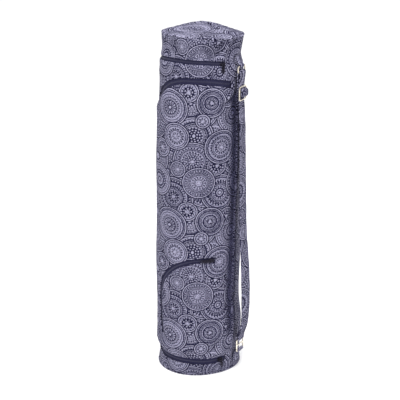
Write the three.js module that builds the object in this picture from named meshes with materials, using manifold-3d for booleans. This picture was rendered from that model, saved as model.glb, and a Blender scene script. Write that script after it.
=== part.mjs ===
// Yoga mat bag: a tall tube of printed canvas with a zipped lid, a zipped door down the front, a zipped pocket
// in the door and an adjustable shoulder strap down one side.
// Millimetres, +Z up, origin at the middle of the base on the floor, the door towards -Y, the strap towards +X.
import * as THREE from "three";
import { mergeVertices } from "three/addons/utils/BufferGeometryUtils.js";
import Module from "manifold-3d";

const wasm = await Module();
wasm.setup();

// Bag sizes
const bagHeight = 682; // floor to the highest point of the lid's rim
const bodyRadius = 80.5; // outside of the tube, half way up
const clothThickness = 1.6; // printed canvas and its facing
const discThickness = 2.4; // lid and base, two canvas layers on a stiffer one
const discLip = 0.8; // seam allowance that stands out round a disc
const baseRounding = 2.2; // turned lower edge of the base
const lidDepth = 47; // rim to the highest point of the lid's zip
const seamGap = 0.3; // between pieces that are sewn together

// Zip sizes
const zipSlot = 12.4; // tape that shows between the cloth edges
const tapeThickness = 1;
const tapeOverlap = 4; // tape hidden behind each cloth edge
const tapeClearance = 0.6;
const teethWidth = 3;
const teethThickness = 0.9;
const teethTrim = 1.2; // short of the slot's ends
const sliderLength = 11;
const sliderShare = 0.66; // a slider's width in its slot
const sliderThickness = 3.4;
const sliderClearance = 0.3; // more than the seam gap, because the tube is round
const pullerWidth = 6;
const pullerThickness = 1.4;
const pullerEye = 1.6; // radius of the hole at each end of a puller

// Lid zip
const lidSlot = 8; // its tape shows less than the door's
const lidZipEnd = -27; // degrees, where the zip stops in front of the strap
const lidHinge = 54; // degrees of sewn hinge behind the strap
const lidPullerLength = 17;

// Door
const doorTopDrop = 35; // lid zip to the door zip's highest point
const doorBottom = 31.5; // height of the zip's lower arm
const doorLeft = -154; // degrees, the zip's upright arm
const doorHigh = -76; // degrees, where the upper arm is highest
const doorUpperEnd = -20; // degrees, where the upper arm stops
const doorLowerEnd = -24; // degrees, where the lower arm stops
const doorTopSag = 11; // from the highest point down to the upper end
const doorUpperCorner = 104; // corner radii of the zip
const doorLowerCorner = 48;
const doorSwell = 6.5; // how far the full door stands proud
const doorLip = 13; // the edge rises to that over this distance
const doorPullerLength = 15;
const doorSlotNarrowing = 0.35; // share of the slot lost along the upright arm

// Pocket in the door
const pocketTop = 248.5;
const pocketRight = -43; // degrees, where the upper arm stops
const pocketLeft = -128.5; // degrees, the upright arm
const pocketCorner = 96;
const pocketFoot = 80; // height of the upright arm's foot
const pocketTurn = 7; // the foot turns back in by this much
const pocketSlot = 10;
const pocketPullerLength = 24;
const pocketSlotNarrowing = 0.6; // share of the slot lost towards the foot

// Side seam
const seamWidth = 4.6;
const seamHeight = 1.2;
const seamFootGap = 3; // above the lower tab

// Strap and its metal
const strapAngle = -3; // degrees, where strap and tabs are sewn to the tube
const strapWidth = 22.5;
const strapThickness = 2;
const strapClearance = 0.35; // between the layers of the strap
const wire = 2.8; // thickness of the cast frames
const frameSide = 0.6; // play beside the strap in a frame
const sliderPitch = 13.4; // middle bar to outer bars of the strap's slider
const ringPitch = 5.8; // middle to bars of the ring under the lid
const footPitch = 12; // middle bar to outer bars of the frame at the foot
const ringDrop = 19.5; // lid zip's highest point down to the middle of the ring
const ringStandoff = 7.1; // tube to the ring
const sliderDrop = 68; // lid zip's highest point down to the slider
const sliderStandoff = 10.4;
const footFrameHeight = 54;
const footStandoff = 10;
const strapBulge = 13.2; // how far the hanging strap bows out past its ends
const strapTurnUp = 34; // sewn end above the frame at the foot
const tabThickness = 1.4;
const upperTabWidth = 14;
const upperTabLength = 18; // root to the ring's upper bar
const lowerTabWidth = 21;
const lowerTabFoot = 17; // height where the lower tab is sewn on

// Sections of the tube from the floor to the lid's zip: height as a share of that height,
// radius and sideways lean as shares of the body's radius
const bodySections = [
  { up: 0, radius: 1.026, lean: -0.015 },
  { up: 0.021, radius: 1.012, lean: -0.014 },
  { up: 0.042, radius: 0.99, lean: -0.012 },
  { up: 0.075, radius: 0.998, lean: -0.014 },
  { up: 0.15, radius: 1.016, lean: -0.004 },
  { up: 0.235, radius: 0.99, lean: -0.02 },
  { up: 0.36, radius: 1, lean: -0.017 },
  { up: 0.59, radius: 1, lean: 0.003 },
  { up: 0.74, radius: 1, lean: 0.021 },
  { up: 0.86, radius: 0.994, lean: 0.028 },
  { up: 0.925, radius: 0.984, lean: 0.034 },
  { up: 0.972, radius: 0.972, lean: 0.032 },
  { up: 1, radius: 0.927, lean: 0.031 },
];

// Sections of the lid, height as a share of the lid's depth above its zip
const lidSections = [
  { up: 0, radius: 0.927, lean: 0.031 },
  { up: 0.3, radius: 0.928, lean: 0.056 },
  { up: 0.72, radius: 0.954, lean: 0.067 },
  { up: 1, radius: 0.952, lean: 0.07 },
];

// How far the lid's rim and zip hang below their highest points round the bag, as shares of the lid's depth
const lidLines = [
  { angle: -154, rim: 0.1, zip: 0.12 },
  { angle: -120, rim: 0.04, zip: 0.04 },
  { angle: -88, rim: 0, zip: 0 },
  { angle: -60, rim: 0.04, zip: 0.03 },
  { angle: -30, rim: 0.11, zip: 0.12 },
  { angle: 0, rim: 0.17, zip: 0.16 },
  { angle: 30, rim: 0.2, zip: 0.16 },
  { angle: 70, rim: 0.235, zip: 0.14 },
  { angle: 115, rim: 0.05, zip: 0.11 },
  { angle: 160, rim: 0.165, zip: 0.13 },
];

// Dents and swells of the tube: place, reach in degrees, reach up and down as a share of the bag's height,
// and depth as a share of the body's radius, negative where the cloth swells
const folds = [
  { angle: -36, up: 0.958, across: 26, along: 0.022, depth: 0.07 },
  { angle: -75, up: 0.95, across: 15, along: 0.025, depth: -0.02 },
  { angle: -118, up: 0.955, across: 16, along: 0.022, depth: 0.028 },
  { angle: 62, up: 0.96, across: 24, along: 0.022, depth: 0.045 },
  { angle: 150, up: 0.957, across: 26, along: 0.02, depth: 0.035 },
  { angle: 8, up: 0.93, across: 16, along: 0.012, depth: 0.03 },
  { angle: -48, up: 0.895, across: 20, along: 0.018, depth: 0.022 },
  { angle: -118, up: 0.9, across: 22, along: 0.016, depth: 0.018 },
  { angle: 40, up: 0.245, across: 16, along: 0.045, depth: 0.02 },
  { angle: 35, up: 0.135, across: 20, along: 0.035, depth: -0.018 },
  { angle: 95, up: 0.5, across: 24, along: 0.1, depth: 0.02 },
  { angle: 150, up: 0.3, across: 22, along: 0.08, depth: 0.018 },
  { angle: 160, up: 0.72, across: 20, along: 0.07, depth: 0.016 },
  { angle: -60, up: 0.55, across: 22, along: 0.09, depth: 0.012 },
];

// How much of its swell the door shows from its open edge to its hinge
const doorSwellRows = [
  { across: 0, share: 1 },
  { across: 0.25, share: 0.95 },
  { across: 0.55, share: 0.6 },
  { across: 0.8, share: 0.35 },
  { across: 1, share: 0.05 },
];

// The side seam swings forward towards the foot: height as a share of the tube's, angle in degrees
const seamRows = [
  { up: 0, angle: -12.5 },
  { up: 0.15, angle: -12.2 },
  { up: 0.32, angle: -9.5 },
  { up: 0.55, angle: -7.5 },
  { up: 0.7, angle: -6 },
  { up: 1, angle: -6 },
];

// The strap between its slider and the frame at the foot: height as a share of the way up,
// distance out from a straight line between them as a share of the strap's bulge
const strapRows = [
  { up: 0.028, out: 0.37 },
  { up: 0.055, out: 0.642 },
  { up: 0.1, out: 0.838 },
  { up: 0.19, out: 0.888 },
  { up: 0.29, out: 0.779 },
  { up: 0.37, out: 0.602 },
  { up: 0.46, out: 0.372 },
  { up: 0.6, out: 0.247 },
  { up: 0.75, out: 0.136 },
  { up: 0.88, out: 0.0415 },
];

// The strap's way through its slider, from the middle bar up to behind the top bar and down to behind the
// bottom bar: height as a share of the bars' pitch, distance out as a share of a layer's wrap round a bar
const threadRows = [
  { up: 0.17, out: 1.93 },
  { up: 0.4, out: 1.82 },
  { up: 0.55, out: 1.16 },
  { up: 0.635, out: 0.07 },
  { up: 0.72, out: -0.69 },
  { up: 0.85, out: -1 },
  { up: 1.1, out: -1 },
];

// The strap's free end behind that slider, from the middle bar up, in the same shares
const endRows = [
  { up: 0.43, out: -1.1 },
  { up: 0.66, out: -1.53 },
  { up: 0.85, out: -2.03 },
  { up: 1.2, out: -2.03 },
];

// Crown of the lid's top, as shares of the lid's depth: a shallow dome with a crease from its middle
const lidCrown = 0.05;
const lidSink = 0.08; // the disc's middle below the highest rim
const creaseAngle = 80; // degrees, the way the crease runs
const creaseShare = 0.22;
const creaseBack = 0.25; // what is left of it beyond the middle
const creaseReach = 0.25; // its width as a share of the disc's radius

const leanAngle = 26; // degrees, the way the tube leans
const zipHeight = bagHeight - lidDepth;
const doorTop = zipHeight - doorTopDrop;
const wrap = wire / 2 + strapClearance + strapThickness / 2; // middle of a layer wrapped round a bar
const layer = strapThickness + strapClearance; // one layer behind the next
const rad = THREE.MathUtils.degToRad;
const smooth = (x) => THREE.MathUtils.smoothstep(x, 0, 1);
const arcLength = (angle) => bodyRadius * rad(angle);
const angleOf = (arc) => THREE.MathUtils.radToDeg(arc / bodyRadius);

// Reads a column of a table at a place between its rows, along a smooth curve through them.
function column(rows, by, name, at) {
  let i = 0;
  while (i < rows.length - 2 && at > rows[i + 1][by]) i++;
  const [a, b] = [rows[i], rows[i + 1]];
  const before = rows[Math.max(i - 1, 0)];
  const after = rows[Math.min(i + 2, rows.length - 1)];
  const span = b[by] - a[by];
  const slopeA = (b[name] - before[name]) / (b[by] - before[by]);
  const slopeB = (after[name] - a[name]) / (after[by] - a[by]);
  const t = THREE.MathUtils.clamp((at - a[by]) / span, 0, 1);
  const rise = b[name] - a[name];
  const [m, n] = [slopeA * span, slopeB * span];
  return a[name] + t * (m + t * (3 * rise - 2 * m - n + t * (m + n - 2 * rise)));
}

// The same round the bag, where the last row meets the first.
function roundColumn(rows, name, angle) {
  const first = rows[0].angle;
  const at = first + THREE.MathUtils.euclideanModulo(angle - first, 360);
  const last = rows.length - 1;
  const wrapped = [
    { ...rows[last], angle: rows[last].angle - 360 },
    ...rows,
    { ...rows[0], angle: first + 360 },
    { ...rows[1], angle: rows[1].angle + 360 },
  ];
  return column(wrapped, "angle", name, at);
}

const rimHeight = (angle) => bagHeight - lidDepth * roundColumn(lidLines, "rim", angle);
const lidZipHeight = (angle) => zipHeight - lidDepth * roundColumn(lidLines, "zip", angle);

function sectionColumn(name, z) {
  if (z <= zipHeight) return column(bodySections, "up", name, Math.max(z, 0) / zipHeight);
  return column(lidSections, "up", name, (z - zipHeight) / lidDepth);
}

function foldDepth(angle, z) {
  let depth = 0;
  for (const fold of folds) {
    const off = THREE.MathUtils.euclideanModulo(angle - fold.angle + 180, 360) - 180;
    const x = off / fold.across;
    const y = (z / bagHeight - fold.up) / fold.along;
    depth += fold.depth * Math.exp(-x * x - y * y);
  }
  return depth;
}

// Outside of the tube and lid, without the door's swell.
const tubeRadius = (angle, z) => bodyRadius * (sectionColumn("radius", z) - foldDepth(angle, z));

// A point of the bag at an angle, a height and a distance from its leaning axis.
function bagPoint(angle, z, radius) {
  const lean = bodyRadius * sectionColumn("lean", z);
  return new THREE.Vector3(
    lean * Math.cos(rad(leanAngle)) + radius * Math.cos(rad(angle)),
    lean * Math.sin(rad(leanAngle)) + radius * Math.sin(rad(angle)),
    z,
  );
}

// A closed solid between two grids of points, the second behind the first as seen from outside.
// The rows of a grid run across its columns; a closed one joins its last column to its first.
function solidBetween(outer, inner, closed = false) {
  const columns = outer.length;
  const rows = outer[0].length;
  const points = [...outer.flat(), ...inner.flat()];
  const at = (side, i, j) => (side * columns + (i % columns)) * rows + j;
  const faces = [];
  const quad = (a, b, c, d) => faces.push(a, b, c, a, c, d);
  const last = closed ? columns : columns - 1;
  for (let i = 0; i < last; i++) {
    for (let j = 0; j < rows - 1; j++) {
      quad(at(0, i, j), at(0, i + 1, j), at(0, i + 1, j + 1), at(0, i, j + 1));
      quad(at(1, i, j), at(1, i, j + 1), at(1, i + 1, j + 1), at(1, i + 1, j));
    }
    quad(at(1, i, 0), at(1, i + 1, 0), at(0, i + 1, 0), at(0, i, 0));
    quad(at(0, i, rows - 1), at(0, i + 1, rows - 1), at(1, i + 1, rows - 1), at(1, i, rows - 1));
  }
  if (!closed) {
    for (let j = 0; j < rows - 1; j++) {
      quad(at(1, 0, j), at(0, 0, j), at(0, 0, j + 1), at(1, 0, j + 1));
      const end = columns - 1;
      quad(at(0, end, j), at(1, end, j), at(1, end, j + 1), at(0, end, j + 1));
    }
  }
  const geometry = new THREE.BufferGeometry().setFromPoints(points);
  return geometry.setIndex(faces);
}

// Cloth right round the bag: columns at angles, with rows at shares of the way from bottom to top.
function clothGeometry(angles, rows, bottom, top) {
  const grids = [0, clothThickness].map((depth) =>
    angles.map((angle) =>
      rows.map((share) => {
        const z = THREE.MathUtils.lerp(bottom(angle), top(angle), share);
        return bagPoint(angle, z, tubeRadius(angle, z) - depth);
      }),
    ),
  );
  return solidBetween(grids[0], grids[1], true);
}

const spread = (from, to, count) =>
  Array.from({ length: count + 1 }, (unused, i) => from + ((to - from) * i) / count);
const allRound = (count) => spread(0, 360, count).slice(0, count);

// A ribbon along a path on the unrolled tube (x is the arc, y the height), lying between two depths.
// width gives its width at a share of the path, lanes is the number of strips across it,
// and trim is left off at both ends.
function ribbonGeometry({ path, steps, radius }, lanes, width, depths, trim = 0) {
  const from = trim / path.getLength();
  const shares = spread(from, 1 - from, steps);
  const grids = depths.map((depth) =>
    shares.map((share) => {
      const middle = path.getPointAt(share);
      const along = path.getTangentAt(share);
      return spread(-0.5, 0.5, lanes).map((side) => {
        const off = side * width(share);
        const z = middle.y + along.x * off;
        const angle = angleOf(middle.x - along.y * off);
        return bagPoint(angle, z, radius(angle, z) - depth);
      });
    }),
  );
  return solidBetween(grids[0], grids[1]);
}

function toSolid(geometry) {
  const bare = new THREE.BufferGeometry();
  bare.setAttribute("position", geometry.getAttribute("position"));
  if (geometry.index) bare.setIndex(geometry.index);
  const merged = mergeVertices(bare, 1e-4);
  return new wasm.Manifold(
    new wasm.Mesh({
      numProp: 3,
      vertProperties: merged.attributes.position.array,
      triVerts: new Uint32Array(merged.index.array),
    }),
  );
}

function toGeometry(solid) {
  const mesh = solid.getMesh();
  const geometry = new THREE.BufferGeometry();
  geometry.setAttribute("position", new THREE.BufferAttribute(mesh.vertProperties, 3));
  geometry.setIndex(new THREE.BufferAttribute(mesh.triVerts, 1));
  geometry.computeVertexNormals();
  return geometry;
}

function cut(geometry, ...cutters) {
  return toGeometry(cutters.reduce((left, cutter) => left.subtract(toSolid(cutter)), toSolid(geometry)));
}

// Outline of the door on the unrolled tube
const doorArc = { left: arcLength(doorLeft), high: arcLength(doorHigh), right: arcLength(doorUpperEnd) };

function cornerFall(arc, corner) {
  const into = Math.max(0, Math.min(doorArc.left + corner - arc, corner));
  return corner - Math.sqrt(corner * corner - into * into);
}

function doorUpper(arc) {
  const share = Math.max(0, arc - doorArc.high) / (doorArc.right - doorArc.high);
  return doorTop - doorTopSag * share * share - cornerFall(arc, doorUpperCorner);
}

const doorLower = (arc) => doorBottom + cornerFall(arc, doorLowerCorner);

function doorPath() {
  const path = new THREE.Path();
  path.moveTo(doorArc.right, doorTop - doorTopSag);
  path.quadraticCurveTo((doorArc.right + doorArc.high) / 2, doorTop, doorArc.high, doorTop);
  path.lineTo(doorArc.left + doorUpperCorner, doorTop);
  const upperY = doorTop - doorUpperCorner;
  path.absarc(doorArc.left + doorUpperCorner, upperY, doorUpperCorner, Math.PI / 2, Math.PI, false);
  const lowerY = doorBottom + doorLowerCorner;
  path.lineTo(doorArc.left, lowerY);
  path.absarc(doorArc.left + doorLowerCorner, lowerY, doorLowerCorner, Math.PI, Math.PI * 1.5, false);
  path.lineTo(arcLength(doorLowerEnd), doorBottom);
  return path;
}

function pocketPath() {
  const left = arcLength(pocketLeft);
  const path = new THREE.Path();
  path.moveTo(arcLength(pocketRight), pocketTop);
  path.lineTo(left + pocketCorner, pocketTop);
  path.absarc(left + pocketCorner, pocketTop - pocketCorner, pocketCorner, Math.PI / 2, Math.PI, false);
  path.quadraticCurveTo(left, (pocketTop - pocketCorner + pocketFoot) / 2, left + pocketTurn, pocketFoot);
  return path;
}

// The lid's zip as a path: it starts in front of the strap and runs round the front and back.
const lidPath = new THREE.SplineCurve(
  spread(lidZipEnd, lidZipEnd - 360 + lidHinge, 24).map(
    (angle) => new THREE.Vector2(arcLength(angle), lidZipHeight(angle)),
  ),
);

const seamAngle = (z) => column(seamRows, "up", "angle", THREE.MathUtils.clamp(z / zipHeight, 0, 1));

// Outside of the door: the tube's, plus a swell that starts at its open edges.
function doorRadius(angle, z) {
  const arc = arcLength(angle);
  const edge = Math.min(doorUpper(arc) - z, z - doorLower(arc), arc - doorArc.left) - zipSlot / 2;
  const across = (arc - doorArc.left) / (arcLength(seamAngle(z)) - doorArc.left);
  const share = column(doorSwellRows, "across", "share", THREE.MathUtils.clamp(across, 0, 1));
  return tubeRadius(angle, z) + doorSwell * share * smooth(edge / doorLip);
}

// The door's sheet or the hole for it, grown outwards by a margin; its right edge follows the side seam.
function doorSheet(columns, rows, margin, outside, inside) {
  const grids = [outside, inside].map((radius) =>
    spread(0, 1, columns).map((u) =>
      spread(0, 1, rows).map((v) => {
        const start = doorArc.left - margin;
        const flat = THREE.MathUtils.lerp(start, arcLength(seamAngle(zipHeight)) + margin, u);
        const inset = THREE.MathUtils.clamp(flat, doorArc.left, 0);
        const z = THREE.MathUtils.lerp(doorLower(inset) - margin, doorUpper(inset) + margin, v);
        const arc = THREE.MathUtils.lerp(start, arcLength(seamAngle(z)) + margin, u);
        return bagPoint(angleOf(arc), z, radius(angleOf(arc), z));
      }),
    ),
  );
  return solidBetween(grids[0], grids[1]);
}

const zips = {
  lid: { path: lidPath, steps: 40, lanes: 3, radius: tubeRadius, slot: () => lidSlot },
  door: {
    path: doorPath(),
    steps: 50,
    lanes: 2,
    radius: tubeRadius,
    slot: (share) => zipSlot * (1 - doorSlotNarrowing * smooth((share - 0.2) / 0.08) * smooth((0.78 - share) / 0.08)),
  },
  pocket: {
    path: pocketPath(),
    steps: 18,
    lanes: 2,
    radius: doorRadius,
    slot: (share) => pocketSlot * (1 - pocketSlotNarrowing * smooth((share - 0.45) / 0.5)),
  },
};

const cutterReach = 9; // the slots are cut this far in front of the cloth and behind it

function slotCutter(zip) {
  return ribbonGeometry(zip, zip.lanes, zip.slot, [-cutterReach, cutterReach]);
}

const bag = new THREE.Group();

function addPiece(name, geometry, finish, parent = bag) {
  const look = {
    canvas: { color: 0x76769a, roughness: 0.9, metalness: 0 },
    tape: { color: 0x33324c, roughness: 0.8, metalness: 0 },
    teeth: { color: 0x26253c, roughness: 0.5, metalness: 0 },
    metal: { color: 0xcdbfa6, roughness: 0.3, metalness: 1 },
  }[finish];
  const mesh = new THREE.Mesh(geometry, new THREE.MeshStandardMaterial(look));
  mesh.name = name;
  parent.add(mesh);
  return mesh;
}

// A disc of two layers: rings of points on its upper side and its lower side, closed at the middle.
function discGeometry(columns, rings, upper, lower) {
  const side = (height) =>
    allRound(columns).map((angle) => rings.map((share) => height(angle, share)));
  const [over, under] = [side(upper), side(lower)];
  const profile = over.map((points, i) => [...points, ...under[i].slice().reverse()]);
  const count = profile[0].length;
  const faces = [];
  const at = (i, j) => (j === 0 ? 0 : j === count - 1 ? 1 : 2 + (i % columns) * (count - 2) + j - 1);
  for (let i = 0; i < columns; i++) {
    for (let j = 0; j < count - 1; j++) {
      if (j > 0) faces.push(at(i, j), at(i, j + 1), at(i + 1, j));
      if (j < count - 2) faces.push(at(i + 1, j), at(i, j + 1), at(i + 1, j + 1));
    }
  }
  const points = [profile[0][0], profile[0][count - 1], ...profile.flatMap((p) => p.slice(1, -1))];
  return new THREE.BufferGeometry().setFromPoints(points).setIndex(faces);
}

const roundColumns = 40; // facets round the tube

// Base
const baseEdge = (angle) => tubeRadius(angle, discThickness) + discLip;
const baseDisc = discGeometry(
  roundColumns,
  [0, 0.6, 1],
  (angle, share) => bagPoint(angle, discThickness, baseEdge(angle) * share),
  (angle, share) => bagPoint(angle, 0, (baseEdge(angle) - baseRounding) * share),
);
addPiece("base_disc", baseDisc, "canvas");

// Tube
const wallRows = [0, 0.021, 0.045, 0.1, 0.165, 0.235, 0.36, 0.52, 0.68, 0.82, 0.9, 0.94, 0.966, 0.984, 1];
const wall = clothGeometry(
  allRound(roundColumns),
  wallRows,
  () => discThickness + seamGap,
  (angle) => lidZipHeight(angle) - seamGap / 2,
);
const doorHole = doorSheet(
  24,
  13,
  seamGap / 2,
  (angle, z) => tubeRadius(angle, z) + cutterReach,
  (angle, z) => tubeRadius(angle, z) - cutterReach,
);
addPiece("body_wall", cut(wall, doorHole, slotCutter(zips.door), slotCutter(zips.lid)), "canvas");

// Door, with the pocket's slot through it
const door = doorSheet(
  24,
  13,
  -seamGap / 2,
  doorRadius,
  (angle, z) => doorRadius(angle, z) - clothThickness,
);
addPiece("door_panel", cut(door, slotCutter(zips.door), slotCutter(zips.pocket)), "canvas");

// Lid
const lidTopGap = discThickness + seamGap;
const lidWall = clothGeometry(
  allRound(roundColumns),
  [0, 0.25, 0.6, 1],
  (angle) => lidZipHeight(angle) + seamGap / 2,
  (angle) => rimHeight(angle) - lidTopGap,
);
addPiece("lid_wall", cut(lidWall, slotCutter(zips.lid)), "canvas");

function lidSurface(angle, share) {
  const rim = rimHeight(angle);
  const middle = bagHeight - lidDepth * lidSink;
  const off = (Math.sin(rad(angle - creaseAngle)) * share) / creaseReach;
  const strength = Math.cos(rad(angle - creaseAngle)) > 0 ? 1 : creaseBack;
  const crease = creaseShare * strength * Math.exp(-off * off) * share * (1 - share);
  const dome = lidCrown * (1 - share * share);
  const z = THREE.MathUtils.lerp(middle, rim, share * share) + lidDepth * (dome - crease);
  const edge = tubeRadius(angle, rim - discThickness) + discLip;
  return bagPoint(angle, z, edge * share);
}
const lidDisc = discGeometry(
  roundColumns,
  [0, 0.4, 0.75, 1],
  lidSurface,
  (angle, share) => lidSurface(angle, share).sub(new THREE.Vector3(0, 0, discThickness)),
);
addPiece("lid_disc", lidDisc, "canvas");

// Side seam, a flat ridge over the door's hinge
const seamTop = doorTop - doorTopSag + zipSlot;
const seamFoot = footFrameHeight - footPitch + wrap + seamFootGap;
const seamPath = new THREE.SplineCurve(
  spread(seamTop, seamFoot, 24).map((z) => new THREE.Vector2(arcLength(seamAngle(z)), z)),
);
const seamLift = doorSwell * doorSwellRows.at(-1).share + 2 * seamGap;
const seamLine = { path: seamPath, steps: 24, radius: tubeRadius };
const seam = ribbonGeometry(seamLine, 1, () => seamWidth, [-seamLift - seamHeight, -seamLift]);
addPiece("side_seam", seam, "canvas");

// Zip tapes behind the cloth's edges, and the teeth on them
for (const [name, zip] of Object.entries(zips)) {
  const back = clothThickness + tapeClearance;
  const wide = (share) => zip.slot(share) + 2 * tapeOverlap;
  const tape = ribbonGeometry(zip, zip.lanes, wide, [back, back + tapeThickness]);
  addPiece(name + "_zip_tape", tape, "tape");
  const front = back - seamGap;
  const teeth = ribbonGeometry(zip, 1, () => teethWidth, [front - teethThickness, front], teethTrim);
  addPiece(name + "_zip_teeth", teeth, "teeth");
}

const bevelSize = 0.5;
const bevel = {
  bevelEnabled: true,
  bevelSize,
  bevelThickness: bevelSize,
  bevelOffset: -bevelSize,
  bevelSegments: 1,
};

// Points on an arc, in degrees
function turnRound(x, y, radius, from, to, steps = 8) {
  return spread(from, to, steps).map(
    (angle) => new THREE.Vector2(x + radius * Math.cos(rad(angle)), y + radius * Math.sin(rad(angle))),
  );
}

// A zip's slider, a wedge-shaped block, and its puller, a flat tag with an eye at each end
function sliderGeometry(width) {
  const half = sliderLength / 2;
  const shoulder = sliderLength * 0.1;
  const wedge = new THREE.Shape([
    new THREE.Vector2(-half, -width * 0.34),
    new THREE.Vector2(shoulder, -width / 2),
    new THREE.Vector2(half, -width * 0.3),
    new THREE.Vector2(half, width * 0.3),
    new THREE.Vector2(shoulder, width / 2),
    new THREE.Vector2(-half, width * 0.34),
  ]);
  return new THREE.ExtrudeGeometry(wedge, { depth: sliderThickness - 2 * bevelSize, ...bevel });
}

function pullerGeometry(length) {
  const half = pullerWidth / 2;
  const ends = [-half, half - length];
  const tag = new THREE.Shape([...turnRound(ends[0], 0, half, 90, -90), ...turnRound(ends[1], 0, half, -90, -270)]);
  tag.holes = ends.map((x) => new THREE.Path(turnRound(x, 0, pullerEye, 0, 315, 7)));
  return new THREE.ExtrudeGeometry(tag, { depth: pullerThickness, bevelEnabled: false });
}

// Places a zip's slider on its path and hangs or lays its puller from it.
// turn is the puller's direction on the cloth, in degrees from the +X end of the unrolled tube.
function addSlider(name, zip, share, pullerLength, turn) {
  const at = zip.path.getPointAt(share);
  const ahead = zip.path.getTangentAt(share);
  const angle = angleOf(at.x);
  const seat = clothThickness + tapeClearance - 2 * seamGap - teethThickness - sliderClearance;
  const place = bagPoint(angle, at.y, zip.radius(angle, at.y) - seat);
  const mount = new THREE.Group();
  mount.position.copy(place);
  const across = new THREE.Vector3(-Math.sin(rad(angle)), Math.cos(rad(angle)), 0);
  const out = new THREE.Vector3(Math.cos(rad(angle)), Math.sin(rad(angle)), 0);
  mount.setRotationFromMatrix(new THREE.Matrix4().makeBasis(across, new THREE.Vector3(0, 0, 1), out));
  bag.add(mount);
  const block = addPiece(name + "_zip_slider", sliderGeometry(zip.slot(share) * sliderShare), "metal", mount);
  block.position.z = bevelSize;
  block.rotation.z = Math.atan2(ahead.y, ahead.x);
  const puller = addPiece(name + "_zip_puller", pullerGeometry(pullerLength), "metal", mount);
  puller.position.z = sliderThickness + seamGap;
  puller.rotation.z = rad(turn + 180);
}
addSlider("lid", zips.lid, 0.02, lidPullerLength, -90);
addSlider("door", zips.door, 0.985, doorPullerLength, -80);
addSlider("pocket", zips.pocket, 0.03, pocketPullerLength, 178);

// Strap, tabs and frames share an upright plane through the axis: x is the distance out, y the height
const strapPlane = new THREE.Group();
strapPlane.rotation.z = rad(strapAngle);
bag.add(strapPlane);

// A cast frame with a row of bars, standing in the plane; pitch is the distance from bar to bar
function frameGeometry(pitches) {
  const inside = strapWidth / 2 + frameSide;
  const outside = inside + wire;
  const top = pitches.at(-1) + wire / 2;
  const foot = pitches[0] - wire / 2;
  const plate = new THREE.Shape();
  const round = wire;
  plate.moveTo(-outside + round, foot);
  plate.lineTo(outside - round, foot);
  plate.quadraticCurveTo(outside, foot, outside, foot + round);
  plate.lineTo(outside, top - round);
  plate.quadraticCurveTo(outside, top, outside - round, top);
  plate.lineTo(-outside + round, top);
  plate.quadraticCurveTo(-outside, top, -outside, top - round);
  plate.lineTo(-outside, foot + round);
  plate.quadraticCurveTo(-outside, foot, -outside + round, foot);
  for (let i = 0; i < pitches.length - 1; i++) {
    const slot = new THREE.Path();
    const [low, high] = [pitches[i] + wire / 2, pitches[i + 1] - wire / 2];
    slot.moveTo(-inside, low);
    slot.lineTo(-inside, high);
    slot.lineTo(inside, high);
    slot.lineTo(inside, low);
    slot.closePath();
    plate.holes.push(slot);
  }
  const geometry = new THREE.ExtrudeGeometry(plate, { depth: wire - 2 * bevelSize, curveSegments: 3, ...bevel });
  geometry.translate(0, 0, bevelSize - wire / 2);
  geometry.rotateX(Math.PI / 2);
  geometry.rotateZ(Math.PI / 2);
  return geometry;
}

// A band of cloth along a path in the strap's plane
function bandGeometry(points, width, thickness) {
  const grids = [-0.5, 0.5].map((side) =>
    points.map((at, i) => {
      const before = points[Math.max(i - 1, 0)];
      const after = points[Math.min(i + 1, points.length - 1)];
      const along = after.clone().sub(before).normalize();
      const x = at.x + along.y * thickness * side;
      const z = at.y - along.x * thickness * side;
      return [-width / 2, width / 2].map((y) => new THREE.Vector3(x, y, z));
    }),
  );
  return solidBetween(grids[0], grids[1]);
}

const ringReach = bodyRadius + ringStandoff;
const sliderReach = bodyRadius + sliderStandoff;
const footFrameReach = bodyRadius + footStandoff;
const ringHeight = zipHeight - ringDrop;
const sliderHeight = zipHeight - sliderDrop;
const footBar = footFrameHeight + footPitch;
const point = (x, z) => new THREE.Vector2(x, z);
const threadPoint = (row, side = 1) => point(sliderReach + wrap * row.out, sliderHeight + side * sliderPitch * row.up);
const hanging = strapRows.map((row) =>
  point(
    THREE.MathUtils.lerp(footFrameReach, sliderReach, row.up) + strapBulge * row.out,
    THREE.MathUtils.lerp(footBar, sliderHeight - sliderPitch, row.up),
  ),
);
const sewnEnd = hanging.filter((at) => at.y < footBar + strapTurnUp);
const strapPoints = [
  ...turnRound(sliderReach, sliderHeight, wrap, 60, -180),
  ...endRows.map((row) => threadPoint(row)),
  ...turnRound(ringReach, ringHeight - ringPitch, wrap, 180, 0),
  ...threadRows.map((row) => threadPoint(row)).reverse(),
  ...threadRows.map((row) => threadPoint(row, -1)),
  ...hanging.toReversed(),
  ...turnRound(footFrameReach, footBar, wrap, 20, -190),
  ...sewnEnd.map((at) => point(at.x - layer * 1.3, at.y)),
];
addPiece("strap", bandGeometry(strapPoints, strapWidth, strapThickness), "canvas", strapPlane);

// Distance from the bag's upright axis to the tube's surface in the strap's plane
function wallReach(z) {
  const at = bagPoint(strapAngle, z, tubeRadius(strapAngle, z));
  return at.x * Math.cos(rad(strapAngle)) + at.y * Math.sin(rad(strapAngle));
}

const tabWrap = wire / 2 + strapClearance + tabThickness / 2;
const tabSeat = 2 * seamGap + tabThickness / 2;
const tabLayer = tabThickness + strapClearance;

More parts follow.
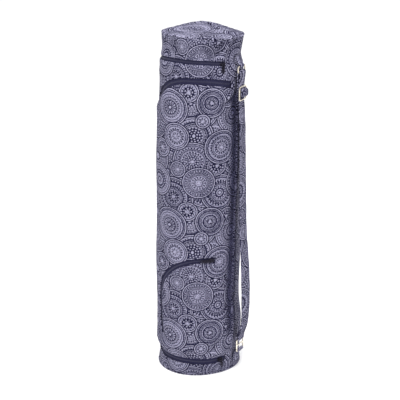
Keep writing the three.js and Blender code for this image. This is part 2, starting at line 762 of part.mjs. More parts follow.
const upperBar = ringHeight + ringPitch;
const upperRoot = upperBar + upperTabLength;
const upperTab = [
  point(wallReach(upperRoot) + tabSeat, upperRoot),
  point(wallReach(upperRoot - upperTabLength / 2) + tabSeat, upperRoot - upperTabLength / 2),
  ...turnRound(ringReach, upperBar, tabWrap, 205, 400),
  point(wallReach(upperRoot - upperTabLength / 2) + tabSeat + tabLayer * 2, upperRoot - upperTabLength / 2),
  point(wallReach(upperRoot) + tabSeat + tabLayer, upperRoot),
];
addPiece("tab_upper", bandGeometry(upperTab, upperTabWidth, tabThickness), "canvas", strapPlane);

const lowerBar = footFrameHeight - footPitch;
const lowerBend = lowerBar - tabWrap * 3;
const lowerTab = [
  point(wallReach(lowerTabFoot) + tabSeat + tabLayer, lowerTabFoot),
  point(wallReach(lowerBend) + tabSeat + tabLayer * 1.6, lowerBend),
  ...turnRound(footFrameReach, lowerBar, tabWrap, -80, 200),
  point(wallReach(lowerBend) + tabSeat, lowerBend),
  point(wallReach(lowerTabFoot) + tabSeat, lowerTabFoot),
];
addPiece("tab_lower", bandGeometry(lowerTab, lowerTabWidth, tabThickness), "canvas", strapPlane);

const slider = addPiece("strap_slider", frameGeometry([-sliderPitch, 0, sliderPitch]), "metal", strapPlane);
slider.position.set(sliderReach, 0, sliderHeight);

const ring = addPiece("ring_upper", frameGeometry([-ringPitch, ringPitch]), "metal", strapPlane);
ring.position.set(ringReach, 0, ringHeight);

const foot = addPiece("ring_lower", frameGeometry([-footPitch, 0, footPitch]), "metal", strapPlane);
foot.position.set(footFrameReach, 0, footFrameHeight);

export default bag;
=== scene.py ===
# Yoga mat bag: a tall tube of printed canvas with zips, and a shoulder strap down one side
import math
from functools import partial

import bpy
import numpy as np
from mathutils import Matrix, Vector, geometry
from mathutils.bvhtree import BVHTree


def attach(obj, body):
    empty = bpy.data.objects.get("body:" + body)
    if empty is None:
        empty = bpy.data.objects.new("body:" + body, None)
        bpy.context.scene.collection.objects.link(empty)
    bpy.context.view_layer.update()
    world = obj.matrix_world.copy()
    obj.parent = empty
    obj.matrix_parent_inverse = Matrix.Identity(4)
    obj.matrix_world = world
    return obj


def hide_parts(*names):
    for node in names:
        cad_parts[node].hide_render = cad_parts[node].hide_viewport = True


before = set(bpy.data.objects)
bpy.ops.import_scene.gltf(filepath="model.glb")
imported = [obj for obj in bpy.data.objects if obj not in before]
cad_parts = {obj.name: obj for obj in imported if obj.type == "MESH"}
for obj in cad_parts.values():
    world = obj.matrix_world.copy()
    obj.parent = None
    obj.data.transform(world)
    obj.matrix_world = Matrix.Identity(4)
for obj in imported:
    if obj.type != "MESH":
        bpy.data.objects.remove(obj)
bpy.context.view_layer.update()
scene = bpy.context.scene
mm = 0.001
print("frame loaded:", len(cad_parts), "nodes")


def addObject(name, data):
    made = bpy.data.objects.new(name, data)
    scene.collection.objects.link(made)
    return made


# camera
cameraSetup = {"place": (1.035, -2.122, 1.197), "pitch": 70.1, "turn": 26.0, "lens": 115.9, "sensor": 36}
cameraData = bpy.data.cameras.new("camera")
cameraData.lens = cameraSetup["lens"]
cameraData.sensor_width = cameraSetup["sensor"]
camera = addObject("camera", cameraData)
camera.location = cameraSetup["place"]
camera.rotation_euler = (math.radians(cameraSetup["pitch"]), 0, math.radians(cameraSetup["turn"]))
scene.camera = camera

# the bag's sizes in millimetres and its angles in degrees, as in the solid model
bag = {
    "height": 682, "radius": 80.5, "cloth": 1.6, "disc": 2.4, "lidDepth": 47,
    "leanAngle": 26, "slot": 12.4, "lidSlot": 8, "pocketSlot": 10,
    "lidZipEnd": -27, "lidHinge": 54, "baseGap": 0.3, "lidOverlap": 0.4,
}
zipHeight = bag["height"] - bag["lidDepth"]
lineStep = 2.5  # between the points of the zips' lines

# height share, radius share, sideways lean share
bodySections = [
    (0, 1.026, -0.015), (0.021, 1.012, -0.014), (0.042, 0.99, -0.012), (0.075, 0.998, -0.014),
    (0.15, 1.016, -0.004), (0.235, 0.99, -0.02), (0.36, 1, -0.017), (0.59, 1, 0.003), (0.74, 1, 0.021),
    (0.86, 0.994, 0.028), (0.925, 0.984, 0.034), (0.972, 0.972, 0.032), (1, 0.927, 0.031),
]
lidSections = [(0, 0.927, 0.031), (0.3, 0.928, 0.056), (0.72, 0.954, 0.067), (1, 0.952, 0.07)]

# angle, drop of the rim, drop of the lid's zip
lidLines = [
    (-154, 0.1, 0.12), (-120, 0.04, 0.04), (-88, 0, 0), (-60, 0.04, 0.03), (-30, 0.11, 0.12),
    (0, 0.17, 0.16), (30, 0.2, 0.16), (70, 0.235, 0.14), (115, 0.05, 0.11), (160, 0.165, 0.13),
]

# angle, height share, reach in degrees, reach up and down, depth share
folds = [
    (-36, 0.958, 26, 0.022, 0.07), (-75, 0.95, 15, 0.025, -0.02), (-118, 0.955, 16, 0.022, 0.028),
    (62, 0.96, 24, 0.022, 0.045), (150, 0.957, 26, 0.02, 0.035), (8, 0.93, 16, 0.012, 0.03),
    (-48, 0.895, 20, 0.018, 0.022), (-118, 0.9, 22, 0.016, 0.018), (40, 0.245, 16, 0.045, 0.02),
    (35, 0.135, 20, 0.035, -0.018), (95, 0.5, 24, 0.1, 0.02), (150, 0.3, 22, 0.08, 0.018),
    (160, 0.72, 20, 0.07, 0.016), (-60, 0.55, 22, 0.09, 0.012),
]


# from 0 to 1 with soft ends
def smooth(x):
    x = np.clip(x, 0, 1)
    return x * x * (3 - 2 * x)


# 1 at nought, falling off softly on both sides
def bell(x):
    return np.exp(-x * x)


# smooth curve through a table's rows, which start with the place
def curveThrough(table, at, which=1):
    places, values = (np.array([row[k] for row in table], float) for k in (0, which))
    at = np.asarray(at, float)
    last = len(places) - 1
    i = np.clip(np.searchsorted(places, at) - 1, 0, last - 1)
    before, after = np.maximum(i - 1, 0), np.minimum(i + 2, last)
    span, rise = places[i + 1] - places[i], values[i + 1] - values[i]
    m = (values[i + 1] - values[before]) / (places[i + 1] - places[before]) * span
    n = (values[after] - values[i]) / (places[after] - places[i]) * span
    t = np.clip((at - places[i]) / span, 0, 1)
    return values[i] + t * (m + t * (3 * rise - 2 * m - n + t * (m + n - 2 * rise)))


# the same for a table that goes once round the bag
def roundCurve(table, angle, which):
    parts = ((-360, table[-1:]), (0, table), (360, table[:2]))
    rows = [(row[0] + turn, *row[1:]) for turn, part in parts for row in part]
    first = table[0][0]
    return curveThrough(rows, first + np.mod(np.asarray(angle, float) - first, 360), which)


def rimHeight(angle):
    return bag["height"] - bag["lidDepth"] * roundCurve(lidLines, angle, 1)


def lidZipHeight(angle):
    return zipHeight - bag["lidDepth"] * roundCurve(lidLines, angle, 2)


def arcOf(angle):
    return bag["radius"] * np.radians(angle)


def angleOf(arc):
    return np.degrees(np.asarray(arc, float) / bag["radius"])


# degrees from one angle to another, the shorter way round
def turnFrom(start, angle):
    return np.mod(angle - start + 180, 360) - 180


def section(which, z):
    z = np.asarray(z, float)
    low = curveThrough(bodySections, np.maximum(z, 0) / zipHeight, which)
    high = curveThrough(lidSections, (z - zipHeight) / bag["lidDepth"], which)
    return np.where(z <= zipHeight, low, high)


def foldDepth(angle, z):
    depth = 0
    for at, up, across, along, share in folds:
        off, rise = turnFrom(at, angle) / across, (z / bag["height"] - up) / along
        depth = depth + share * np.exp(-(off ** 2) - rise ** 2)
    return depth


def tubeRadius(angle, z):
    return bag["radius"] * (section(1, z) - foldDepth(angle, z))


# millimetres on the leaning tube to a place in metres
def bagPoint(angle, z, radius):
    lean, way, turn = bag["radius"] * section(2, z), math.radians(bag["leanAngle"]), np.radians(angle)
    x, y = lean * math.cos(way) + radius * np.cos(turn), lean * math.sin(way) + radius * np.sin(turn)
    return np.stack([x, y, np.broadcast_to(z, np.shape(x))], -1) * mm


# creases of the cloth: from angle and height to angle and height, half width in millimetres,
# depth in millimetres, negative where the cloth stands up
creases = [
    (-17, 540, -19, 330, 8, 0.5), (-19, 330, -20, 120, 8, 0.4), (-12, 577, -36, 562, 4, -2.0),
    (-10, 566, -34, 552, 3.5, 3.4), (-12, 560, -30, 515, 6, 1.8), (2, 674, -24, 664, 4, 2.6),
    (4, 660, -20, 640, 7, 2.2), (-24, 668, -44, 662, 5, 1.6), (-50, 668, -80, 672, 4, -1.2),
    (-30, 655, -62, 640, 6, 1.5), (-100, 668, -140, 664, 5, 1.2), (-6, 625, -30, 632, 5, 1.8),
    (-20, 600, -26, 574, 6, 1.2), (-30, 612, -58, 606, 5, 1.2), (-62, 618, -92, 612, 5, 1.0),
    (-100, 612, -134, 600, 6, 1.3), (-128, 625, -150, 600, 6, -1.2), (-40, 650, -30, 676, 5, 2.2),
    (-34, 640, -20, 670, 5, -2.0), (-22, 648, -6, 676, 6, 1.8), (-52, 646, -66, 672, 6, 1.3),
    (-84, 642, -76, 668, 5, -1.2), (-98, 644, -112, 672, 6, 1.4), (-124, 640, -136, 668, 6, 1.6),
    (-120, 660, -150, 646, 5, -1.2), (-140, 90, -110, 60, 7, 1.4), (-60, 52, -34, 74, 5, 1.5),
    (-40, 44, -24, 84, 5, -1.4), (-28, 60, -16, 104, 5, 1.8), (-34, 6, -20, 28, 5, 1.4),
    (-70, 8, -84, 26, 6, 1.1), (-112, 8, -126, 30, 6, 1.2), (-146, 10, -160, 60, 8, 1.4),
    (20, 590, 44, 560, 7, 1.6), (60, 600, 92, 580, 7, 1.4), (120, 610, 150, 586, 7, 1.5),
    (30, 60, 60, 90, 8, 1.6), (100, 40, 140, 66, 8, 1.5), (170, 30, 200, 70, 8, 1.5),
    (70, 300, 110, 340, 12, 1.4), (140, 420, 176, 380, 12, 1.4), (40, 420, 66, 360, 10, 1.2),
    (-50, 300, -38, 360, 9, 1.0), (-118, 330, -96, 372, 10, 0.9), (-70, 470, -48, 500, 9, 0.9),
]
creaseEnds = {"least": 0.35, "steep": 5}

# the foot of the bag is drawn in at the front and under the strap
baseTuck = {"angle": -42, "across": 46, "depth": 7.5, "top": 28}

# the door's cloth dives under the side seam: rows of height and depth in millimetres
seamValley = {
    "left": 13, "right": 3, "aside": 3, "rows": [
        (60, 0), (100, 1), (180, 1.5), (300, 1.7), (430, 1.9), (520, 2), (565, 1.8), (590, 0.8), (610, 0)],
}

# the cloth that lies in the seam's shade, in millimetres from the seam and from the ground
seamDusk = {
    "left": 29, "leftSoft": 24, "right": 8, "rightSoft": 1.5, "wider": 4, "widerBelow": 400, "widerSoft": 250,
    "foot": 60, "footSoft": 60, "top": 588, "topSoft": 22,
}


# how much of a straight wrinkle is felt x, y from its start, and the share of its length there
def wrinkleAt(x, y, way, half):
    t = np.clip((x * way[0] + y * way[1]) / (way @ way), 0, 1)
    return bell(np.hypot(x - t * way[0], y - t * way[1]) / half), t


def creaseDepth(angle, z):
    depth = np.zeros(np.broadcast(angle, z).shape)
    for a0, z0, a1, z1, half, deep in creases:
        way = np.array([arcOf(a1 - a0), z1 - z0])
        felt, t = wrinkleAt(arcOf(turnFrom(a0, angle)), z - z0, way, half)
        taper = np.clip(np.minimum(t, 1 - t) * creaseEnds["steep"], 0, 1)
        depth += deep * (creaseEnds["least"] + (1 - creaseEnds["least"]) * taper) * felt
    return depth + tuckDepth(angle, z) + valleyDepth(angle, z)


def tuckDepth(angle, z):
    rise = smooth((baseTuck["top"] - z) / baseTuck["top"])
    return baseTuck["depth"] * bell(turnFrom(baseTuck["angle"], angle) / baseTuck["across"]) * rise


def seamAngle(z):
    return curveThrough(seamLine, np.clip(np.asarray(z) / zipHeight, 0, 1))


def fromSeam(angle, z):
    return arcOf(turnFrom(seamAngle(z), angle))


def valleyDepth(angle, z):
    off = fromSeam(angle, z) + seamValley["aside"]
    deep = curveThrough(seamValley["rows"], z)
    return np.maximum(deep, 0) * bell(off / np.where(off > 0, seamValley["right"], seamValley["left"]))


# how deep in the shade of the seam the door's cloth lies, from 0 to 1
def seamShade(angle, z):
    off = fromSeam(angle, z)
    lower = smooth((seamDusk["widerBelow"] - z) / seamDusk["widerSoft"])
    right = seamDusk["right"] + seamDusk["wider"] * lower - off
    shade = smooth((off + seamDusk["left"]) / seamDusk["leftSoft"]) * smooth(right / seamDusk["rightSoft"])
    shade = shade * smooth((z - seamDusk["foot"]) / seamDusk["footSoft"])
    return shade * smooth((seamDusk["top"] - z) / seamDusk["topSoft"])


# slow unevenness of cloth over a full bag, in millimetres, with none at the foot
def ripple(arc, z):
    a = arc / bag["radius"]
    wave = 0.55 * np.sin(3 * a + z / 71 + 1.3) * np.sin(z / 53 + 2 * a)
    wave += 0.4 * np.sin(5 * a - z / 37 + 0.6) + 0.25 * np.sin(9 * a + z / 23 + 2.1) * np.sin(z / 41)
    return (wave + 0.14 * np.sin(17 * a + z / 12) * np.sin(z / 9 - 8 * a)) * smooth(z / 20)


# outer face of the cloth, folds and all, in millimetres from the leaning axis
def clothRadius(radius, angle, z):
    return radius(angle, z) + ripple(arcOf(angle), z) - creaseDepth(angle, z)


# lines of the zips on the unrolled tube
door = {
    "topDrop": 35, "bottom": 31.5, "left": -154, "high": -76, "upperEnd": -20, "lowerEnd": -24, "sag": 11,
    "upperCorner": 104, "lowerCorner": 48, "swell": 6.5, "lip": 13,
    "narrowing": 0.35, "narrowFrom": 0.2, "narrowTo": 0.78, "narrowSoft": 0.08,
}
pocket = {
    "top": 248.5, "right": -43, "left": -125.5, "corner": 95, "bend": 116.25, "foot": 80, "turn": 8,
    "narrowing": 0.15, "narrowFrom": 0.45, "narrowSoft": 0.5,
}
# height share, angle
seamLine = [(0, -12.5), (0.15, -12.2), (0.32, -9.5), (0.55, -7.5), (0.7, -6), (1, -6)]
# share of the way from the zip to the seam, share of the swell
doorSwellLine = [(0, 1), (0.25, 0.95), (0.55, 0.6), (0.8, 0.35), (1, 0.05)]
doorTop = zipHeight - door["topDrop"]
doorLeft, doorHigh, doorRight, doorFoot = (
    float(arcOf(door[k])) for k in ("left", "high", "upperEnd", "lowerEnd"))


def arcPoints(x, y, radius, start, end, count):
    turn = np.linspace(math.radians(start), math.radians(end), count)
    return np.stack([x + radius * np.cos(turn), y + radius * np.sin(turn)], -1)


# run along a line up to each of its points
def runAlong(points):
    return np.r_[0, np.cumsum(np.hypot(*np.diff(points, axis=0).T))]


# the same line with points a step apart
def evenly(points, step=lineStep):
    points = np.asarray(points, float)
    run = runAlong(points)
    at = np.linspace(0, run[-1], max(2, int(round(run[-1] / step)) + 1))
    return np.stack([np.interp(at, run, points[:, k]) for k in (0, 1)], -1)


# unit vectors along a line, and to its left, at each of its points
def headings(line):
    along = np.gradient(line, axis=0)
    return along / np.linalg.norm(along, axis=1)[:, None]


def leftOf(line):
    along = headings(line)
    return np.stack([-along[:, 1], along[:, 0]], -1)


def cornerFall(arc, corner):
    into = np.clip(doorLeft + corner - arc, 0, corner)
    return corner - np.sqrt(corner * corner - into * into)


def doorUpper(arc):
    share = np.maximum(0, arc - doorHigh) / (doorRight - doorHigh)
    return doorTop - door["sag"] * share * share - cornerFall(arc, door["upperCorner"])


def doorLower(arc):
    return door["bottom"] + cornerFall(arc, door["lowerCorner"])


def doorRadius(angle, z):
    arc = arcOf(angle)
    edge = np.minimum(np.minimum(doorUpper(arc) - z, z - doorLower(arc)), arc - doorLeft) - bag["slot"] / 2
    across = np.clip((arc - doorLeft) / (arcOf(seamAngle(z)) - doorLeft), 0, 1)
    rise = np.clip(edge / door["lip"], 0, 1)
    swell = door["swell"] * curveThrough(doorSwellLine, across)
    return tubeRadius(angle, z) + swell * rise * rise * (3 - 2 * rise)


topArcs = np.linspace(doorRight, doorHigh, 30)
upper, lower = door["upperCorner"], door["lowerCorner"]
doorLine = evenly(np.concatenate([
    np.stack([topArcs, doorUpper(topArcs)], -1),
    arcPoints(doorLeft + upper, doorTop - upper, upper, 90, 180, 40),
    arcPoints(doorLeft + lower, door["bottom"] + lower, lower, 180, 270, 30), [[doorFoot, door["bottom"]]],
]))
pocketLeft = float(arcOf(pocket["left"]))
pocketHigh = pocket["top"] - pocket["corner"]
tail = np.linspace(0, 1, 20)[:, None]
bendStart, bend, bendEnd = np.array([
    [pocketLeft, pocketHigh], [pocketLeft, pocket["bend"]], [pocketLeft + pocket["turn"], pocket["foot"]]])
pocketLine = evenly(np.concatenate([
    [[float(arcOf(pocket["right"])), pocket["top"]]],
    arcPoints(pocketLeft + pocket["corner"], pocketHigh, pocket["corner"], 90, 180, 40),
    (1 - tail) ** 2 * bendStart + 2 * tail * (1 - tail) * bend + tail ** 2 * bendEnd,
]))
girth = float(arcOf(360))
lidTurn = np.linspace(bag["lidZipEnd"], bag["lidZipEnd"] - 360 + bag["lidHinge"], 200)
lidLine = evenly(np.stack([arcOf(lidTurn), lidZipHeight(lidTurn)], -1))


# width of each slot at a share of its line, narrower where the cloth closes over the zip
def doorSlot(share):
    start, end = share - door["narrowFrom"], door["narrowTo"] - share
    closed = door["narrowing"] * smooth(start / door["narrowSoft"]) * smooth(end / door["narrowSoft"])
    return bag["slot"] * (1 - closed)


def pocketSlot(share):
    closed = smooth((share - pocket["narrowFrom"]) / pocket["narrowSoft"])
    return bag["pocketSlot"] * (1 - pocket["narrowing"] * closed)


def lidSlot(share):
    return bag["lidSlot"] + 0 * share


# each zip's line, slot and the surface that it lies on
zips = {
    "lid": (lidLine, lidSlot, tubeRadius), "door": (doorLine, doorSlot, tubeRadius),
    "pocket": (pocketLine, pocketSlot, doorRadius),
}


def halfSlot(name):
    line, slot, _ = zips[name]
    return slot(np.linspace(0, 1, len(line))) / 2


def edgesOf(name, more=0):
    line, off = zips[name][0], leftOf(zips[name][0]) * (halfSlot(name) + more)[:, None]
    return line + off, line - off


# distance of each point to a line, and the share of the line where it is nearest
def distanceTo(line, points):
    a, way = line[:-1], np.diff(line, axis=0)
    best, share = np.full(len(points), 1e9), np.zeros(len(points))
    for k in range(len(a)):
        t = np.clip(((points - a[k]) @ way[k]) / (way[k] @ way[k]), 0, 1)
        off = points - a[k] - t[:, None] * way[k]
        d = np.hypot(off[:, 0], off[:, 1])
        near = d < best
        best[near], share[near] = d[near], (k + t[near]) / len(a)
    return best, share


# millimetres from the nearest zip's cloth edge, and the run along that zip
def hemDistance(points, names):
    near, run = np.full(len(points), 1e3), np.zeros(len(points))
    for name in names:
        line, slot, _ = zips[name]
        for turn in (0, girth):
            d, share = distanceTo(line + [turn, 0], points)
            d = d - slot(share) / 2
            run = np.where(d < near, share * lineStep * len(line), run)
            near = np.minimum(near, d)
    return near, run


def insideOf(loop, points):
    x, y = points[:, 0], points[:, 1]
    found = np.zeros(len(points), bool)
    for (x0, y0), (x1, y1) in zip(loop, np.roll(loop, -1, axis=0)):
        if y0 != y1:
            found ^= ((y0 > y) != (y1 > y)) & (x < (x1 - x0) * (y - y0) / (y1 - y0) + x0)
    return found


# outlines of the cloth pieces on the unrolled tube, cut at the back of the bag
backCut = 100
bandAngles = np.linspace(backCut - 360, backCut, 203)
bandArcs = arcOf(bandAngles)


def bandLoop(bottom, above):
    rise = np.linspace(0, 1, max(3, int((above[0] - bottom[0]) / 2.6)) + 1)[1:-1]
    side = bottom[0] + (above[0] - bottom[0]) * rise
    return np.concatenate([
        np.stack([bandArcs, bottom], -1), np.stack([np.full(len(side), bandArcs[-1]), side], -1),
        np.stack([bandArcs, above], -1)[::-1], np.stack([np.full(len(side), bandArcs[0]), side[::-1]], -1),
    ])


zipCourse = lidZipHeight(bandAngles)
zipGap = (np.abs(bandAngles) > bag["lidHinge"] / 2) * bag["lidSlot"] / 2  # nought at the hinge
wallLoop = bandLoop(np.full(len(bandAngles), bag["disc"] + bag["baseGap"]), zipCourse - zipGap)
lidLoop = bandLoop(zipCourse + zipGap, rimHeight(bandAngles) - bag["disc"] + bag["lidOverlap"])

seamTop = float(doorUpper(arcOf(seamAngle(585))))
seamRise = np.linspace(door["bottom"], seamTop, 215)
seamUp = np.stack([arcOf(seamAngle(seamRise)), seamRise], -1)
lowerRun = evenly([[doorFoot, door["bottom"]], seamUp[0]])
upperArcs = np.linspace(seamUp[-1][0], doorRight, 12)
hinge = [lowerRun, seamUp[1:], np.stack([upperArcs, doorUpper(upperArcs)], -1)[1:]]
doorLoop, holeLoop = (np.concatenate([edge, *hinge]) for edge in edgesOf("door"))
pocketInner, pocketOuter = edgesOf("pocket")
pocketLoop = np.concatenate([pocketInner, pocketOuter[::-1]])

# the net of a sheet of cloth: distances of its rows from a hem, and the spacing elsewhere
sheet = {"rows": (0.35, 0.8, 1.5, 2.6, 4.2), "spacing": 4.2, "fromHem": 5.8}


# fills an outline with triangles: rows beside the hems, an even net elsewhere
def fillSheet(loops, hems):
    edges, start = [], 0
    for loop in loops:
        n = len(loop)
        edges += [(start + i, start + (i + 1) % n) for i in range(n)]
        start += n

    def within(points):
        found = insideOf(loops[0], points)
        for hole in loops[1:]:
            found &= ~insideOf(hole, points)
        return found

    def fromRims(points):
        return np.min([distanceTo(np.vstack([loop, loop[:1]]), points)[0] for loop in loops], axis=0)

    points = [np.concatenate(loops)]
    for off in sheet["rows"]:
        for name in hems:
            for turn in (0, girth):
                ring = np.concatenate(edgesOf(name, off)) + [turn, 0]
                ring = ring[within(ring)]
                if len(ring):
                    points.append(ring[fromRims(ring) > off * 0.9])
    low, high, spacing = loops[0].min(0), loops[0].max(0), sheet["spacing"]
    net = []
    for i, z in enumerate(np.arange(low[1] + spacing / 2, high[1], spacing * 0.866)):
        row = np.arange(low[0] + spacing * (0.5 if i % 2 else 1), high[0], spacing)
        net.append(np.stack([row, np.full_like(row, z)], -1))
    net = np.concatenate(net)
    net = net[within(net)]
    near = hemDistance(net, hems)[0]
    points.append(net[(fromRims(net) > spacing * 0.55) & (near > sheet["fromHem"])])
    made = geometry.delaunay_2d_cdt([Vector(p) for p in np.concatenate(points)], edges, [], 0, 1e-5)
    flat, faces = np.array([v[:] for v in made[0]]), np.array(made[2])
    faces = faces[within(flat[faces].mean(1))]
    a, b, c = (flat[faces[:, k]] for k in range(3))
    turned = (b - a)[:, 0] * (c - a)[:, 1] - (b - a)[:, 1] * (c - a)[:, 0] < 0
    faces[turned] = faces[turned][:, ::-1]
    return flat, faces


# sRGB hex to linear, made darker by a share
def linear(hexColour, share=1):
    parts = [int(hexColour[i:i + 2], 16) / 255 for i in (1, 3, 5)]
    return tuple(share * (c / 12.92 if c <= 0.04045 else ((c + 0.055) / 1.055) ** 2.4) for c in parts) + (1,)


# one node with its settings, a kind in capitals being what a maths node does;
# a value in ins is a socket to link or a number to set
def addNode(tree, kind, ins=(), out=0, stops=(), **settings):
    node = tree.nodes.new("ShaderNode" + ("Math" if kind.isupper() else kind))
    if kind.isupper():
        node.operation = kind
    for name, value in settings.items():
        setattr(node, name, value)
    for k, (position, colour) in enumerate(stops):
        elements = node.color_ramp.elements
        stop = elements[k] if k < 2 else elements.new(position)
        stop.position, stop.color = position, linear(colour)
    for key, value in (ins.items() if isinstance(ins, dict) else enumerate(ins)):
        if isinstance(value, bpy.types.NodeSocket):
            tree.links.new(value, node.inputs[key])
        elif value is not None:
            node.inputs[key].default_value = value
    if out == "all":
        return node.outputs[:]
    return node.outputs[out] if node.outputs else node


# a material of one shader: dress lays the nodes and returns what the shader takes in
def makeMaterial(name, dress, *choices):
    material = bpy.data.materials.new(name)
    material.use_nodes = True
    tree = material.node_tree
    tree.nodes.clear()
    shader = addNode(tree, "BsdfPrincipled", dress(partial(addNode, tree), *choices))
    addNode(tree, "OutputMaterial", [shader])
    return material


# Rosettes of the print in one repeat, painted in this order: across, up and radius in millimetres
printRepeat = (girth / 2, 232)
rosettes = [
    (20, 30, 57.1), (100, 12, 55.3), (186, 34, 58.7), (54, 106, 56.4), (144, 96, 57.7), (228, 122, 55.9),
    (12, 184, 57.3), (96, 188, 56.1), (178, 182, 58.6), (0, 112, 19.1), (98, 124, 16.2), (226, 38, 17.1),
    (60, 52, 38.3), (150, 34, 37.2), (230, 70, 39.2), (30, 132, 36.7), (112, 142, 40.4), (200, 152, 37.5),
    (66, 212, 34.8), (148, 216, 38.9), (238, 214, 33.7), (62, 98, 18.7), (140, 116, 20.4), (216, 102, 19.3),
    (40, 164, 17.9), (194, 206, 20.9), (84, 2, 19.8), (24, 78, 33.9), (104, 84, 36.4), (182, 96, 29.2),
    (74, 168, 32.6), (160, 174, 31.8), (246, 168, 33.8), (116, 30, 27.5), (202, 10, 34.3), (14, 18, 26.3),
    (166, 62, 14.9), (120, 198, 17.2), (58, 124, 13.4),
]

# What a rosette is drawn with: lengths in millimetres, and tones from 0, dark, to 1, light
rosetteDrawing = {
    "band": 4.3, "stretch": (4.6, 6.6), "level": (-0.1, 0.05), "own": (-0.07, 0.06),
    "rims": [(6.4, 0.74), (5.3, 0.08), (3.7, 0.9), (1.9, -0.05)],
    "heart": (0.62, 0.96), "under": (0.24, 0.02), "over": (0.8, 0.86),
}


def rosettePrint(add, place):
    cloth = add("VectorMath", {0: place, 3: 1 / mm}, operation="SCALE")
    halfX, halfY = printRepeat[0] / 2, printRepeat[1] / 2
    placed = None
    for across, up, radius in rosettes:
        # the third number carries the rosette's radius along with its own coordinates
        off = add("VectorMath", [cloth, (across, up, 0)], operation="SUBTRACT")
        near = add("VectorMath", [off, (halfX, halfY, radius), (-halfX, -halfY, radius)], operation="WRAP")
        away = add("VectorMath", [near, (0, 0, radius)], 1, operation="DISTANCE")
        inside = add("LESS_THAN", [away, radius])
        if placed is None:
            placed = near
        else:
            placed = add("Mix", {0: inside, 4: placed, 5: near}, out=1, data_type="VECTOR")
    x, y, size = add("SeparateXYZ", [placed], out="all")
    flat = add("CombineXYZ", [x, y, 0])
    away = add("VectorMath", [flat], 1, operation="LENGTH")
    turn = add("ARCTAN2", [y, x])
    share = add("DIVIDE", [turn, math.tau])

    # bands of equal width, each with its own chance numbers
    room = add("SUBTRACT", [size, rosetteDrawing["rims"][0][0]])
    wanted = add("DIVIDE", [room, rosetteDrawing["band"]])
    bands = add("ROUND", [wanted])
    width = add("DIVIDE", [room, bands])
    run = add("DIVIDE", [away, width])
    band = add("FLOOR", [run])
    up = add("FRACT", [run])
    seed = add("CombineXYZ", [band, size, 3.7])
    chance, spare = add("TexWhiteNoise", [seed], out="all", noise_dimensions="3D")
    first, second, third = add("SeparateColor", [spare], out="all")

    # motifs round a band, about as wide as they are high
    middle = add("ADD", [band, 0.5])
    stretch = add("MapRange", [first, 0, 1, *rosetteDrawing["stretch"]])
    many = add("MULTIPLY", [middle, stretch])
    count = add("ROUND", [many])
    step = add("MULTIPLY_ADD", [share, count, second])
    fraction = add("FRACT", [step])
    across = add("SUBTRACT", [fraction, 0.5])
    rise = add("SUBTRACT", [up, 0.5])
    cell = add("CombineXYZ", [across, rise, 0])
    dot = add("VectorMath", [cell], 1, operation="LENGTH")
    aside = add("ABSOLUTE", [across])

    # five kinds of band: dots, loops, petals, bars and fine rings
    dots = add("MapRange", [dot, 0.2, 0.36, 1.1, 0.1])
    ring = add("COMPARE", [dot, 0.3, 0.1])
    loops = add("MapRange", [ring, 0, 1, 0.1, 0.95])
    bow = add("MULTIPLY", [up, math.pi])
    arch = add("SINE", [bow])
    leaf = add("MULTIPLY", [arch, 0.44])
    edge = add("SUBTRACT", [leaf, aside])
    petals = add("MapRange", [edge, -0.02, 0.12, 0.04, 0.84])
    bar = add("LESS_THAN", [aside, 0.19])
    bars = add("MapRange", [bar, 0, 1, 0.74, 0.04])
    waves = add("MULTIPLY", [up, math.tau])
    swing = add("SINE", [waves])
    rings = add("MapRange", [swing, -0.8, 0.8, 0.1, 0.84])
    tone = dots
    for drawn, limit in ((loops, 0.16), (petals, 0.34), (bars, 0.6), (rings, 0.74)):
        chosen = add("GREATER_THAN", [chance, limit])
        tone = add("Mix", {0: chosen, 2: tone, 3: drawn})

    # each band is a little darker or lighter, often with a dark line under it or a light one over it
    level = add("MapRange", [third, 0, 1, *rosetteDrawing["level"]])
    tone = add("ADD", [tone, level])
    for line, way, luck, odds in (("under", "LESS_THAN", third, 0.45), ("over", "GREATER_THAN", second, 0.5)):
        limit, value = rosetteDrawing[line]
        there = add(way, [up, limit])
        often = add(way, [luck, odds])
        both = add("MULTIPLY", [there, often])
        tone = add("Mix", {0: both, 2: tone, 3: value})
    heart = add("LESS_THAN", [run, rosetteDrawing["heart"][0]])
    tone = add("Mix", {0: heart, 2: tone, 3: rosetteDrawing["heart"][1]})

    # whole rosettes differ too
    own = add("TexWhiteNoise", {"W": size}, noise_dimensions="1D")
    own = add("MapRange", [own, 0, 1, *rosetteDrawing["own"]])
    tone = add("ADD", [tone, own])

    # double line round the rosette
    inward = add("SUBTRACT", [size, away])
    for limit, value in rosetteDrawing["rims"]:
        line = add("LESS_THAN", [inward, limit])
        tone = add("Mix", {0: line, 2: tone, 3: value})
    return tone


# Cotton canvas, plain woven from heather yarn and pigment printed: matt, speckled, a print in close tones
canvas = {
    "dark": "#0e0d25", "middle": "#3d3c54", "light": "#9896ab", "threadMm": 0.9, "fuzz": 1.2,
    "weave": {"Strength": 0.35, "Distance": 0.4 * mm},
    "speckleMm": 2.4, "speckle": 1.35, "fadingMm": 30, "fading": 0.34, "print": 0.76, "lighter": 0.52,
    # painted light on the crests of folds and painted shade down in them, over this reach of the painted
    # shading
    "paintedCrestLight": (1.1, 1.1, 1.1, 1), "paintedFoldShade": (0.2, 0.2, 0.3, 1), "paintedShadingReach": (-2, 9),
    "shader": {"Roughness": 0.86, "Sheen Weight": 0.015, "Sheen Roughness": 0.5, "Specular IOR Level": 0.06},
}


